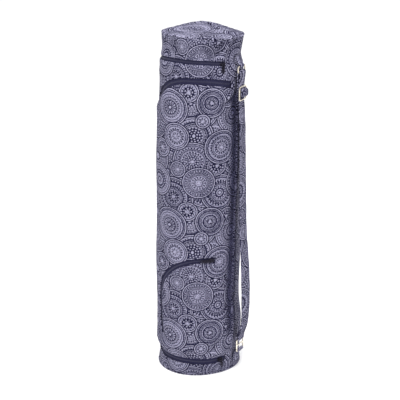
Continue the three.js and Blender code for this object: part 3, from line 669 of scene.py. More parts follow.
def printedCanvas(add):
    place = add("UVMap", uv_map="cloth")
    tone = rosettePrint(add, place)
    # yarn of uneven blue, and slow fading over a hand's width
    speckle, fading = (
        add("TexNoise", {"Vector": place, "Scale": 1 / (canvas[k] * mm), "Detail": 2})
        for k in ("speckleMm", "fadingMm"))
    tone = add("MULTIPLY", [tone, canvas["print"]])
    tone = add("MULTIPLY_ADD", [speckle, canvas["speckle"], tone])
    tone = add("MULTIPLY_ADD", [fading, canvas["fading"], tone])
    average = (canvas["speckle"] + canvas["fading"] + canvas["print"]) / 2
    tone = add("SUBTRACT", [tone, average - canvas["lighter"]])
    stops = [(0.12, canvas["dark"]), (0.88, canvas["light"]), (0.5, canvas["middle"])]
    ramp = add("ValToRGB", [tone], stops=stops)
    # painted light along the crests of folds and painted shade down in them, the shade tinted with the
    # cloth's own blue
    paintedShading = add("Attribute", attribute_name="paintedShading", out=2)
    deep = add("MapRange", [paintedShading, *canvas["paintedShadingReach"]])
    shade = add("Mix", {0: deep, 6: canvas["paintedCrestLight"], 7: canvas["paintedFoldShade"]}, out=2, data_type="RGBA")
    colour = add("Mix", {0: 1, 6: ramp, 7: shade}, out=2, data_type="RGBA", blend_type="MULTIPLY")
    # threads crossing, drawn twice as coarse as real canvas so that they still show
    lift = None
    for side in add("SeparateXYZ", [place], out="all")[:2]:
        wave = add("MULTIPLY", [side, math.pi / (canvas["threadMm"] * mm)])
        wave = add("SINE", [wave])
        wave = add("ABSOLUTE", [wave])
        lift = wave if lift is None else add("ADD", [lift, wave])
    lift = add("MULTIPLY_ADD", [speckle, canvas["fuzz"], lift])
    bump = add("Bump", {**canvas["weave"], "Height": lift})
    return {**canvas["shader"], "Base Color": colour, "Normal": bump}


# Nylon zip tape: a close twill, matt and nearly navy, with fine slanting ribs
tapeCloth = {
    "dark": "#1b1a32", "light": "#2d2c47", "mottleMm": 2, "ribMm": 1.4, "slant": 0.6,
    "ribs": {"Strength": 0.4, "Distance": 0.3 * mm},
    "shader": {"Roughness": 0.8, "Sheen Weight": 0.02, "Specular IOR Level": 0.12},
}


def wovenTape(add):
    place = add("UVMap", uv_map="cloth")
    noise = add("TexNoise", {"Vector": place, "Scale": 1 / (tapeCloth["mottleMm"] * mm), "Detail": 2})
    colour = add("ValToRGB", [noise], stops=[(0.3, tapeCloth["dark"]), (0.7, tapeCloth["light"])])
    x, y, _ = add("SeparateXYZ", [place], out="all")
    slant = add("MULTIPLY_ADD", [y, tapeCloth["slant"], x])
    wave = add("MULTIPLY", [slant, math.tau / (tapeCloth["ribMm"] * mm)])
    wave = add("SINE", [wave])
    bump = add("Bump", {**tapeCloth["ribs"], "Height": wave})
    return {**tapeCloth["shader"], "Base Color": colour, "Normal": bump}


# Nylon coil, moulded monofilament: turns 1.3 mm apart, a soft satin line down the middle of the tape
coilNylon = {
    "colour": "#42415b", "between": "#15142a", "pitchMm": 1.3,
    "turns": {"Strength": 0.8, "Distance": 0.6 * mm}, "shader": {"Roughness": 0.5, "Specular IOR Level": 0.2},
}


def zipCoil(add):
    place = add("UVMap", uv_map="cloth")
    x, y, _ = add("SeparateXYZ", [place], out="all")
    # the two rows' turns stand half a pitch apart
    side = add("SIGN", [y])
    shift = add("MULTIPLY", [side, math.pi / 2])
    wave = add("MULTIPLY_ADD", [x, math.tau / (coilNylon["pitchMm"] * mm), shift])
    wave = add("SINE", [wave])
    height = add("MapRange", [wave, -1, 1, 0.35, 1])
    # darker between the turns: partly the tape showing through, partly painted shade in the gaps
    shade = add("ValToRGB", [height], stops=[(0, coilNylon["between"]), (1, coilNylon["colour"])])
    bump = add("Bump", {**coilNylon["turns"], "Height": wave})
    return {**coilNylon["shader"], "Base Color": shade, "Normal": bump}


# Zinc casting, barrel polished and plated: softly mirrored, darker in patches that are partly worn plating
# and partly painted dark reflections, a little wavy from the mould
platedCasting = {
    "patchMm": 5, "roughening": (-0.06, 0.1), "wearAndReflection": (0.42, 0.66, 0, 0.8), "wearAndReflectionShare": 0.3,
    "waves": {"Strength": 0.15, "Distance": 0.2 * mm},
}


def platedZinc(add, colour, roughness):
    place = add("TexCoord", out=3)
    noise = add("TexNoise", {"Vector": place, "Scale": 1 / (platedCasting["patchMm"] * mm), "Detail": 3})
    rough = add("MapRange", [noise, 0.3, 0.7, *(roughness + more for more in platedCasting["roughening"])])
    # darker patches: worn plating, and painted dark reflections
    wearAndReflectionPatch = add("MapRange", [noise, *platedCasting["wearAndReflection"]])
    tones = {0: wearAndReflectionPatch, 6: linear(colour), 7: linear(colour, platedCasting["wearAndReflectionShare"])}
    shade = add("Mix", tones, out=2, data_type="RGBA")
    bump = add("Bump", {**platedCasting["waves"], "Height": noise})
    return {"Base Color": shade, "Metallic": 1, "Roughness": rough, "Normal": bump}


# Spun polyester sewing thread, twisted: small soft ridges that catch a little light
spunThread = {
    "colour": "#55547a", "dark": 0.6, "mottleMm": 1.2, "shader": {"Roughness": 0.6, "Sheen Weight": 0.2},
}


def sewingThread(add):
    place = add("TexCoord", out=3)
    noise = add("TexNoise", {"Vector": place, "Scale": 1 / (spunThread["mottleMm"] * mm), "Detail": 2})
    tones = {0: noise, 6: linear(spunThread["colour"], spunThread["dark"]), 7: linear(spunThread["colour"])}
    shade = add("Mix", tones, out=2, data_type="RGBA")
    return {**spunThread["shader"], "Base Color": shade}


# a look is a material, paired with the name of a slot of the part
canvasLook = (makeMaterial("printedCottonCanvas", printedCanvas), "canvas_print")
tapeLook = (makeMaterial("nylonTwillTape", wovenTape), "zip_tape")
coilLook = (makeMaterial("nylonCoil", zipCoil), "zip_teeth")
strapMetal = (makeMaterial("champagnePlatedZinc", platedZinc, "#f3eadb", 0.2), "strap_metal")
zipMetal = (makeMaterial("smokyPlatedZinc", platedZinc, "#302e39", 0.4), "zip_metal")
threadLook = (makeMaterial("polyesterThread", sewingThread), "canvas_print")
print("materials made")


# one piece: cloth holds each point's place on the flat cloth in metres, and the last argument the painted
# shading at each point, from painted light on crests to painted shade in folds
def makeMesh(name, points, faces, look, nodes=(), cloth=None, crease=40, paintedShading=None):
    mesh = bpy.data.meshes.new(name)
    mesh.from_pydata(np.asarray(points).tolist(), [], [list(map(int, f)) for f in faces])
    if cloth is not None:
        layer = mesh.uv_layers.new(name="cloth")
        corners = np.zeros(len(mesh.loops), np.int32)
        mesh.loops.foreach_get("vertex_index", corners)
        layer.data.foreach_set("uv", np.asarray(cloth, np.float32)[corners].ravel())
    # painted shade and painted light of the cloth, kept at each point for the canvas material
    if paintedShading is not None:
        painted = mesh.attributes.new("paintedShading", "FLOAT", "POINT")
        painted.data.foreach_set("value", np.asarray(paintedShading, np.float32))
    mesh.shade_smooth()
    mesh.set_sharp_from_angle(angle=math.radians(crease))
    material, slot = look
    mesh.materials.append(material)
    piece = addObject(name, mesh)
    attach(piece, "root")
    if nodes:
        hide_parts(*nodes)
    return piece


# painted shade on the canvas: how darkly each kind of depth paints it, for dents, the drawn-in foot, the
# seam's shade and the lid's wrinkles
paintedShadeWeights = {"dent": 1.6, "tuck": -1.2, "seam": 8.5, "lid": 1.8}

# a turned hem beside a zip, in millimetres
hemFold = {"round": 0.8, "double": 0.45, "wide": 9, "soft": 1.6, "pucker": 0.3, "puckerMm": 11, "fade": 6}


# a sheet of cloth with turned hems beside the zips; radius gives its outer face
def clothPiece(name, loops, hems, radius, node):
    flat, faces = fillSheet(loops, hems)
    arc, z = flat[:, 0], flat[:, 1]
    angle = angleOf(arc)
    hem, run = hemDistance(flat, hems)
    hem = np.maximum(hem, 0)
    inRound = np.clip(hemFold["round"] - hem, 0, hemFold["round"])
    turned = hemFold["round"] - np.sqrt(np.maximum(hemFold["round"] ** 2 - inRound ** 2, 0))
    folded = hemFold["double"] * smooth((hemFold["wide"] - hem) / hemFold["soft"])
    gather = np.sin(run * math.tau / hemFold["puckerMm"] + np.sin(run / 17) * 2)
    pucker = hemFold["pucker"] * gather * np.exp(-hem / hemFold["fade"])
    dent = creaseDepth(angle, z)
    outer = radius(angle, z) + ripple(arc, z) - dent + folded + pucker
    front = bagPoint(angle, z, outer - turned)
    back = bagPoint(angle, z, outer - folded - bag["cloth"] + turned * 0.5)
    # the rim joins front and back along edges that only one triangle has, except at the back's cut
    sides = np.concatenate([faces[:, [0, 1]], faces[:, [1, 2]], faces[:, [2, 0]]]).tolist()
    known = {(a, b) for a, b in sides}
    cutLow, cutHigh = bandArcs[0] + 0.01, bandArcs[-1] - 0.01
    rim = [
        (a, b) for a, b in dict.fromkeys(map(tuple, sides))
        if (b, a) not in known and max(arc[a], arc[b]) > cutLow and min(arc[a], arc[b]) < cutHigh]
    n = len(flat)
    allFaces = faces.tolist() + (faces[:, ::-1] + n).tolist() + [[b, a, a + n, b + n] for a, b in rim]
    # painted shade in dents and beside the seam, and painted light where dents stand up
    paintedShading = paintedShadeWeights["dent"] * dent + paintedShadeWeights["tuck"] * tuckDepth(angle, z)
    paintedShading = np.tile(paintedShading + paintedShadeWeights["seam"] * seamShade(angle, z), 2)
    points, cloth = np.concatenate([front, back]), np.concatenate([flat, flat]) * mm
    return makeMesh(name, points, allFaces, canvasLook, [node], cloth, 60, paintedShading)


wallPiece = clothPiece("bodyCloth", [wallLoop, holeLoop], ["door", "lid"], tubeRadius, "body_wall")
doorPiece = clothPiece("doorCloth", [doorLoop, pocketLoop], ["door", "pocket"], doorRadius, "door_panel")
lidPiece = clothPiece("lidBand", [lidLoop], ["lid"], tubeRadius, "lid_wall")
for piece in (wallPiece, doorPiece, lidPiece):
    print(piece.name, len(piece.data.polygons), "faces")


# net of points joined row by row, closed round its columns; the first and last rows are filled
def tubeFaces(rows, columns):
    i, j = np.meshgrid(np.arange(rows - 1), np.arange(columns), indexing="ij")
    a, b = i * columns + j, i * columns + (j + 1) % columns
    faces = np.stack([a, b, b + columns, a + columns], -1).reshape(-1, 4).tolist()
    last = (rows - 1) * columns
    return faces + [list(range(columns))[::-1], [last + k for k in range(columns)]]


# a band that follows a line on the tube; sections holds (off the line, depth under the cloth) round the band
def bandOnTube(name, line, sections, radius, look, node, shade=0):
    flat = line[:, None] + leftOf(line)[:, None] * sections[:, :, :1]
    angle, z = angleOf(flat[..., 0]), flat[..., 1]
    points = bagPoint(angle, z, clothRadius(radius, angle, z) - sections[..., 1])
    run = np.broadcast_to(runAlong(line)[:, None], angle.shape)
    cloth = np.stack([run, sections[..., 0]], -1).reshape(-1, 2) * mm
    faces = [f[::-1] for f in tubeFaces(len(line), sections.shape[1])]
    # painted shade of the seam on this band, where a shade share is given
    paintedShading = paintedShadeWeights["seam"] * shade * seamShade(angle, z).ravel() if shade else None
    return makeMesh(name, points.reshape(-1, 3), faces, look, [node], cloth, 50, paintedShading)


# Zips: a tape sewn under both hems, and the coil's two rows side by side along its middle
tape = {"overlap": 4, "depth": 2.2, "thick": 1, "rise": 0.25, "middle": 1.8, "coil": 3.0, "coilDepth": 1.25}


# the left half of an outline and its mirror image
def bothSides(half):
    return half + [(-x, y) for x, y in half[::-1] if x]


def tapeSection(half):
    wide, deep, up, back = half + tape["overlap"], tape["depth"], tape["rise"], tape["depth"] + tape["thick"]
    left = [(-wide, deep + 0.3), (-half, deep), (-half * 0.75, deep - up * 0.7), (-tape["middle"], deep - up)]
    return bothSides(left) + [(wide, back), (-wide, back)]


def coilSection():
    half, deep, back = tape["coil"] / 2, tape["coilDepth"], tape["depth"] - 0.1
    lobe = [
        (-half, back - 0.15), (-half * 0.9, deep + 0.22), (-half * 0.55, deep), (-half * 0.22, deep + 0.12),
        (0, deep + 0.5),
    ]
    return bothSides(lobe) + [(half, back), (-half, back)]


for zipName, (line, _, radius) in zips.items():
    sections = np.array([tapeSection(half) for half in halfSlot(zipName)])
    bandOnTube(zipName + "Tape", line, sections, radius, tapeLook, zipName + "_zip_tape")
    sections = np.array([coilSection()] * (len(line) - 2))
    bandOnTube(zipName + "Coil", line[1:-1], sections, radius, coilLook, zipName + "_zip_teeth")
print("zips laid")


# Side seam: a turned, folded ridge of the canvas over the door's hinge
seam = {"wide": 4.6, "lift": 0.925, "high": 1.3, "foot": 47.7, "top": 601.4, "points": 300, "shade": 0.75}
seamZ = np.linspace(seam["foot"], seam["top"], seam["points"])
seamRun = np.stack([arcOf(seamAngle(seamZ)), seamZ], -1)
seamSide, seamTall = seam["wide"] / 2, seam["lift"] + seam["high"]
seamShape = bothSides([
    (-seamSide, 0.3), (-seamSide, -seam["lift"]), (-seamSide * 0.86, -seamTall * 0.8),
    (-seamSide * 0.5, -seamTall * 0.97), (0, -seamTall),
])
seamSections = np.array([seamShape] * seam["points"])
bandOnTube("sideSeam", seamRun, seamSections, tubeRadius, canvasLook, "side_seam", seam["shade"])


# Discs of the lid and the base: rings of points from the middle over the rounded rim and back underneath
lidTop = {
    "crown": 0.05, "sink": 0.08, "creaseAngle": 80, "crease": 0.22, "creaseBack": 0.25, "creaseReach": 0.25,
    "lip": 0.9, "round": 1.2, "baseLip": 0.8, "reach": 77, "gather": 0.3, "gathers": 23, "gatherReach": 0.09,
    "columns": 200, "unevenness": 0.4,
}

# wrinkles of the lid's top: from and to, sideways and away from the camera's side, half width and depth
lidWrinkles = [
    (6, 76, 29, 10, 3, 3.6), (15, 74, 38, 6, 3.5, -2.4), (-6, 74, 12, 20, 5, -1.4),
    (30, -4, 62, -22, 6, -1.6), (58, -46, 74, -6, 4.5, 2.6), (46, -60, 64, -14, 5, -2.0),
    (-70, 10, -34, -40, 7, 1.2), (-40, -66, -8, -50, 6, 1.2), (-66, 40, -30, 30, 7, -1.3),
    (40, 56, 66, 30, 5, 1.8), (-20, 10, 20, -30, 12, 1.2), (-44, 50, -16, 8, 5, 1.5),
    (-52, -8, -20, -26, 5, -1.2), (10, -66, 40, -44, 5, 1.4), (20, 40, 50, 14, 6, -1.4),
]


def lidPlace(angle, share):
    aside = np.radians(angle - bag["leanAngle"])
    return lidTop["reach"] * share * np.cos(aside), lidTop["reach"] * share * np.sin(aside)


# how deep a place on the lid's top lies in its wrinkles, from the angle and the share of the way out
def wrinkleDepth(angle, share):
    x, y = lidPlace(angle, share)
    wrinkled = np.zeros(np.broadcast(angle, share).shape)
    for x0, y0, x1, y1, half, depth in lidWrinkles:
        wrinkled += depth * wrinkleAt(x - x0, y - y0, np.array([x1 - x0, y1 - y0]), half)[0]
    return wrinkled * (1 - share ** 8)


def discPiece(name, edge, height, node, rings=34, shift=(0, 0), draw=1.0, depth=None):
    columns, rounding, thick = lidTop["columns"], lidTop["round"], bag["disc"]
    angle = np.linspace(-180, 180, columns, endpoint=False)
    shares = np.linspace(0, 1, rings + 1)[1:]
    rim = edge(angle)
    inner = rim - rounding
    top = height(angle, inner / rim)
    places = [(inner * share, height(angle, inner * share / rim)) for share in shares]
    for turn in np.radians([60, 30, 0, -30, -60, -90]):
        places.append((inner + rounding * math.cos(turn), top - thick / 2 + thick / 2 * math.sin(turn)))
    places += [(inner * share, height(angle, inner * share / rim) - thick) for share in (0.8, 0.5, 0.2)]
    middle = height(np.zeros(1), np.zeros(1))[0]
    centres = [bagPoint(0.0, middle - down, 0.0)[None] for down in (0, thick)]
    points = np.concatenate([bagPoint(angle, z, reach) for reach, z in places] + centres)
    turn = np.radians(angle)
    cloth = np.concatenate([np.stack([r * np.cos(turn), r * np.sin(turn)], -1) for r, _ in places]) * mm
    cloth = np.concatenate([cloth, np.zeros((2, 2))]) * draw + np.array(shift) * mm
    n = len(places)
    faces = [[f[0], f[3], f[2], f[1]] for f in tubeFaces(n, columns)[:-2]]
    for j in range(columns):
        k = (j + 1) % columns
        faces.append([n * columns, j, k])
        faces.append([n * columns + 1, (n - 1) * columns + k, (n - 1) * columns + j])
    # painted shade in the lid's wrinkles and painted light on their ridges
    paintedShading = np.zeros(len(points))
    if depth:
        paintedShading[:rings * columns] = np.concatenate([depth(angle, share) for share in shares])
    return makeMesh(name, points, faces, canvasLook, [node], cloth, 60, paintedShadeWeights["lid"] * paintedShading)


def lidEdge(angle):
    return clothRadius(tubeRadius, angle, rimHeight(angle) - bag["disc"]) + lidTop["lip"]


def lidTopHeight(angle, share):
    rim, middle, deep = rimHeight(angle), bag["height"] - bag["lidDepth"] * lidTop["sink"], bag["lidDepth"]
    turn = np.radians(angle - lidTop["creaseAngle"])
    strength = np.where(np.cos(turn) > 0, 1, lidTop["creaseBack"])
    across = bell(np.sin(turn) * share / lidTop["creaseReach"])
    crease = lidTop["crease"] * strength * across * share * (1 - share)
    z = middle + (rim - middle) * share ** 2 + deep * (lidTop["crown"] * (1 - share ** 2) - crease)
    x, y = lidPlace(angle, share)
    around = np.radians(angle)
    gather = lidTop["gather"] * np.sin(around * lidTop["gathers"] + np.sin(around * 5) * 2)
    z = z - wrinkleDepth(angle, share) + gather * np.exp(-(1 - share) / lidTop["gatherReach"])
    return z + lidTop["unevenness"] * np.sin(x / 9 + 1) * np.sin(y / 12 + x / 30) * (1 - share ** 4)


def baseEdge(angle):
    return clothRadius(tubeRadius, angle, bag["disc"]) + lidTop["baseLip"]


def baseHeight(angle, share):
    return np.full(np.shape(share), bag["disc"])


discPiece("lidTop", lidEdge, lidTopHeight, "lid_disc", shift=(122, 84), draw=0.8, depth=wrinkleDepth)
discPiece("baseDisc", baseEdge, baseHeight, "base_disc", rings=12, shift=(20, 90))
print("discs and side seam made")


# Strap, tabs and their metal stand in an upright plane: x is the distance out, y goes across, z is up
strap = {
    "angle": -3, "wide": 22.5, "thick": 2, "gap": 0.35, "wire": 2.8, "side": 0.6, "corner": 2.6, "bar": 0.92,
    "sliderPitch": 12.4, "sliderHeight": 570, "sliderReach": 90.9,
    "ringPitch": 5.8, "ringHeight": 615.5, "ringReach": 87.6,
    "footPitch": 12, "footHeight": 54, "footReach": 90.5,
    "bulge": 13.2, "turnUp": 34, "stitches": 2.4, "twistFrom": 120, "twistTop": 555, "upright": 0.93,
}
tab = {"thick": 1.4, "seat": 0.6, "upperWide": 14, "upperLong": 18, "lowerWide": 21, "lowerFoot": 17}

# the free run: share of the way up, share of the bulge
strapRows = [
    (0, 0), (0.028, 0.37), (0.055, 0.642), (0.1, 0.838), (0.19, 0.888), (0.29, 0.779), (0.37, 0.602),
    (0.46, 0.372), (0.6, 0.247), (0.75, 0.136), (0.88, 0.0415), (1, 0),
]
# the strap near its slider: share of the pitch up or down, share of the wrap outwards
threadRows = [(0.17, 1.93), (0.4, 1.82), (0.55, 1.16), (0.635, 0.07), (0.72, -0.69), (0.85, -1), (1.1, -1)]
endRows = [(0.43, -1.1), (0.66, -1.53), (0.85, -2.03), (1.2, -2.03)]
# height and degrees by which the strap turns towards the front
strapTwist = [
    (40, 0), (60, 0), (106, 10), (149, 18), (192, 20), (238, 16), (300, 8), (380, 4), (540, 0), (620, 0),
]
strapWrap = strap["wire"] / 2 + strap["gap"] + strap["thick"] / 2
strapLayer = strap["thick"] + strap["gap"]
strapPlane = Matrix.Rotation(math.radians(strap["angle"]), 4, "Z")
footBar = strap["footHeight"] + strap["footPitch"]
hangLow = (strap["footReach"], footBar)
hangHigh = (strap["sliderReach"], strap["sliderHeight"] - strap["sliderPitch"])


def threadPoint(up, out, side=1):
    return [strap["sliderReach"] + strapWrap * out, strap["sliderHeight"] + side * strap["sliderPitch"] * up]


def hangingAt(up):
    reach = hangLow[0] + (hangHigh[0] - hangLow[0]) * up + strap["bulge"] * curveThrough(strapRows, up)
    return np.stack([reach, hangLow[1] + (hangHigh[1] - hangLow[1]) * up], -1)


hanging = hangingAt(np.linspace(0.02, 0.9, 120))
sewnEnd = hanging[hanging[:, 1] < footBar + strap["turnUp"]] - [strapLayer * 1.3, 0]
strapLine = np.concatenate([
    arcPoints(strap["sliderReach"], strap["sliderHeight"], strapWrap, 60, -180, 14),
    [threadPoint(*r) for r in endRows],
    arcPoints(strap["ringReach"], strap["ringHeight"] - strap["ringPitch"], strapWrap, 180, 0, 14),
    [threadPoint(*r) for r in threadRows[::-1]], [threadPoint(*r, -1) for r in threadRows],
    hanging[::-1], arcPoints(strap["footReach"], footBar, strapWrap, 20, -190, 14), sewnEnd,
])
bandStitches = {}


# a flat band of doubled cloth along a line in the strap's plane, its edges rounded and drawn in by stitches
def clothBand(name, line, wide, thick, node, step=lineStep, shift=(0, 0), twist=None, wave=0.25):
    line = evenly(line, step)
    along, run = headings(line), runAlong(line)
    half, edge = wide / 2, thick / 2
    shape = [
        (half - edge + edge * math.cos(turn), edge * math.sin(turn))
        for turn in np.radians([90, 60, 30, 0, -30, -60, -90])]
    drawnIn = (half - strap["stitches"], -edge * 0.74)
    inner = [drawnIn, (half * 0.5, -edge), (0, -edge), (-half * 0.5, -edge), (-drawnIn[0], drawnIn[1])]
    shape += inner
    shape = np.array(shape + [(-y, -n) for y, n in shape])
    turnBy = np.zeros(len(line))
    if twist:
        free = (np.abs(along[:, 1]) > strap["upright"]) * (run > strap["twistFrom"])
        free = free * (line[:, 1] < strap["twistTop"])
        turnBy = np.radians(curveThrough(twist, line[:, 1])) * free
    y = shape[None, :, 0] * np.ones((len(line), 1))
    n = shape[None, :, 1] + wave * np.sin(run[:, None] / 6.3 + np.sign(y) * 1.1) * (y / half) ** 4
    cos, sin = np.cos(turnBy)[:, None], np.sin(turnBy)[:, None]
    # the edge on the far side of the camera swings outwards
    side = -np.sign(along[:, 1])[:, None]
    across, out = y * cos + n * sin * side, n * cos - y * sin * side
    x = line[:, None, 0] + along[:, None, 1] * out
    z = line[:, None, 1] - along[:, None, 0] * out
    points = np.stack([x, across, z], -1).reshape(-1, 3) * mm
    points = points @ np.array(strapPlane.to_3x3()).T
    cloth = (np.stack([y, np.broadcast_to(run[:, None], y.shape)], -1).reshape(-1, 2) + np.array(shift)) * mm
    band = makeMesh(name, points, tubeFaces(len(line), len(shape)), canvasLook, [node], cloth, 60)
    # rows of stitches beside both edges, on both faces
    net = points.reshape(len(line), len(shape), 3)
    middle = net.mean(1)
    bandStitches[name] = (band, [])
    for sideways in (-drawnIn[0], drawnIn[0]):
        for face in (-edge, edge):
            k = int(np.argmin(np.hypot(shape[:, 0] - sideways, shape[:, 1] - face)))
            bandStitches[name][1].append(net[:, k] + (net[:, k] - middle) * 0.02)


# a place beside the wall in the strap's plane, with so many layers of the tab under it
def onWall(z, layers=0):
    turn = math.radians(strap["angle"])
    x, y, _ = bagPoint(strap["angle"], z, float(clothRadius(tubeRadius, strap["angle"], z)))
    reach = float(x * math.cos(turn) + y * math.sin(turn)) / mm
    return [reach + tab["seat"] + tab["thick"] / 2 + (tab["thick"] + strap["gap"]) * layers, z]


clothBand("strapWebbing", strapLine, strap["wide"], strap["thick"], "strap", shift=(40, 12), twist=strapTwist)
tabWrap = strap["wire"] / 2 + strap["gap"] + tab["thick"] / 2
upperBar = strap["ringHeight"] + strap["ringPitch"]
upperRoot, upperBend = upperBar + tab["upperLong"], upperBar + tab["upperLong"] / 2
upperTab = np.concatenate([
    [onWall(upperRoot), onWall(upperBend)], arcPoints(strap["ringReach"], upperBar, tabWrap, 205, 400, 16),
    [onWall(upperBend, 2), onWall(upperRoot, 1)],
])
clothBand("upperTab", upperTab, tab["upperWide"], tab["thick"], "tab_upper", 1.2, (130, 40), None, 0.1)
lowerBar, lowerFoot = strap["footHeight"] - strap["footPitch"], tab["lowerFoot"]
lowerBend = lowerBar - tabWrap * 3
lowerTab = np.concatenate([
    [onWall(lowerFoot, 1), onWall(lowerBend, 1.6)],
    arcPoints(strap["footReach"], lowerBar, tabWrap, -80, 200, 18), [onWall(lowerBend), onWall(lowerFoot)],
])
clothBand("lowerTab", lowerTab, tab["lowerWide"], tab["thick"], "tab_lower", 1.2, (70, 160), None, 0.1)


# meshes from curves: a flat outline with holes and rounded edges, or round wire along paths
def curveMesh(paths, flatThickness=None, rounding=0.4, wire=None, closed=True):
    curve = bpy.data.curves.new("outline", "CURVE")
    curve.dimensions = "3D" if wire else "2D"
    curve.bevel_resolution = 3
    if wire:
        curve.bevel_depth, curve.use_fill_caps = wire * mm, True
    else:
        curve.fill_mode, curve.bevel_depth, curve.offset = "BOTH", rounding * mm, -rounding * mm
        curve.extrude = (flatThickness / 2 - rounding) * mm
    for path in paths:
        spline = curve.splines.new("POLY")
        spline.points.add(len(path) - 1)
        for point, at in zip(spline.points, path):
            point.co = (*(c * mm for c in at), *((0,) if len(at) == 2 else ()), 1)
        spline.use_cyclic_u = closed
    holder = bpy.data.objects.new("outline", curve)
    mesh = bpy.data.meshes.new_from_object(holder)
    bpy.data.objects.remove(holder)
    return mesh


# one piece of metal from several meshes, each with its own place
def metalPiece(name, parts, look, node):
    points, faces = [], []
    for mesh, place in parts:
        start = len(points)
        points += [(place @ v.co)[:] for v in mesh.vertices]
        faces += [[start + i for i in p.vertices] for p in mesh.polygons]
        bpy.data.meshes.remove(mesh)
    return makeMesh(name, points, faces, look, [node], None, 35)


# a frame of round wire with bars across it; bars counts the pitches up from the middle
def castFrame(name, kind, bars, node):
    wire, corner = strap["wire"] / 2, strap["corner"]
    side, high = strap["wide"] / 2 + strap["side"] + wire, strap[kind + "Pitch"]
    x, z = side - corner, high - corner
    corners = [(x, z), (-x, z), (-x, -z), (x, -z)]
    ring = [arcPoints(*at, corner, 90 * k, 90 * k + 90, 7) for k, at in enumerate(corners)]
    place = strapPlane @ Matrix.Translation((strap[kind + "Reach"] * mm, 0, strap[kind + "Height"] * mm))
    parts = [(curveMesh([[(0, *at) for at in np.concatenate(ring)]], wire=wire), place)]
    for bar in bars:
        path = [(0, -side, bar * high), (0, side, bar * high)]
        parts.append((curveMesh([path], wire=wire * strap["bar"], closed=False), place))
    metalPiece(name, parts, strapMetal, node)


castFrame("strapSlider", "slider", [0], "strap_slider")
castFrame("upperRing", "ring", [], "ring_upper")
castFrame("lowerFrame", "foot", [0], "ring_lower")
print("strap, tabs and frames made")


# Zip sliders: two wedge plates on a post, a bridge over them, and a flat puller with an eye at each end
slider = {
    "long": 11, "share": 0.66, "thick": 3.4, "seat": 0.4, "lower": 1.1, "upper": 1.2, "bridge": 0.9,
    "wire": 0.62, "span": 3.4, "arch": 1.9, "pullerWide": 6, "pullerThick": 1.4, "eye": 1.6, "play": 0.3,
}
# share of the zip's line, length of the puller, its direction
sliderPlaces = {"lid": (0.02, 17, -90), "door": (0.985, 15, -80), "pocket": (0.03, 24, 178)}


def sliderPieces(zipName, share, pullerLong, turn):
    line, slotOf, radius = zips[zipName]
    at = share * (len(line) - 1)
    i, part = int(at), at - int(at)
    spot = line[i] * (1 - part) + line[i + 1] * part
    ahead = line[min(i + 2, len(line) - 1)] - line[max(i - 1, 0)]
    angle, z = float(angleOf(spot[0])), float(spot[1])
    base = bagPoint(angle, z, float(clothRadius(radius, angle, z)) - slider["seat"])
    around = math.radians(angle)
    axes = Matrix((
        (-math.sin(around), 0, math.cos(around), base[0]), (math.cos(around), 0, math.sin(around), base[1]),
        (0, 1, 0, base[2]), (0, 0, 0, 1),
    ))
    turned = axes @ Matrix.Rotation(math.atan2(ahead[1], ahead[0]), 4, "Z")
    half, wide = slider["long"] / 2, float(slotOf(share)) * slider["share"]
    edge = [
        (-half, -wide * 0.3), (-half + 0.8, -wide * 0.38), (slider["long"] * 0.1, -wide / 2),
        (half - 1.2, -wide * 0.36), (half, -wide * 0.2),
    ]
    outline = edge + [(x, -y) for x, y in edge[::-1]]
    post = [(-1.6, -1.1), (1.8, -0.8), (1.8, 0.8), (-1.6, 1.1)]
    top = slider["thick"] - slider["bridge"]
    parts = []
    for shape, thick, rounding, middle in (
        (outline, slider["lower"], 0.35, slider["lower"] / 2),
        (outline, slider["upper"], 0.45, top - slider["upper"] / 2),
        (post, slider["thick"] - 1.4, 0.2, top / 2),
    ):
        place = turned @ Matrix.Translation((0, 0, middle * mm))
        parts.append((curveMesh([shape], thick, rounding), place))
    bridge = []
    for x in np.linspace(-slider["span"], slider["span"], 15):
        bow = math.sin(math.acos(max(-1, min(1, x / slider["span"]))))
        bridge.append((x, 0, slider["thick"] - 1.4 + slider["arch"] * bow))
    parts.append((curveMesh([bridge], wire=slider["wire"], closed=False), turned))
    metalPiece(zipName + "Slider", parts, zipMetal, zipName + "_zip_slider")
    r = slider["pullerWide"] / 2
    far = r - pullerLong
    tag = np.concatenate([arcPoints(-r, 0, r, 90, -90, 15), arcPoints(far, 0, r, -90, -270, 15)])
    holes = [arcPoints(x, 0, slider["eye"], 0, 345, 24) for x in (-r, far)]
    lift = (slider["thick"] + slider["play"] + slider["pullerThick"] / 2) * mm
    place = axes @ Matrix.Translation((0, 0, lift)) @ Matrix.Rotation(math.radians(turn + 180), 4, "Z")
    puller = curveMesh([tag, *holes], slider["pullerThick"], 0.4)
    metalPiece(zipName + "Puller", [(puller, place)], zipMetal, zipName + "_zip_puller")


for zipName, places in sliderPlaces.items():
    sliderPieces(zipName, *places)
print("zip sliders and pullers made")


# Lockstitches: short capsules of thread that dip into the cloth at both ends
sewing = {
    "pitch": 3.4, "long": 2.5, "thick": 0.42, "fromEdge": 2.6, "above": 1.2, "baseHem": 6.8, "lidHem": 3.4,
    "seamRight": 4.4, "seamLeft": -4.2, "seamRun": (60, 560), "flat": 1.25, "sides": 6,
}
# share of the length, share of the thickness, height above the cloth
stitchRows = [(-0.5, 0.3, -0.3), (-0.34, 0.9, 0.1), (0, 1, 0.22), (0.34, 0.9, 0.1), (0.5, 0.3, -0.3)]
stitchFaces = tubeFaces(len(stitchRows), sewing["sides"])


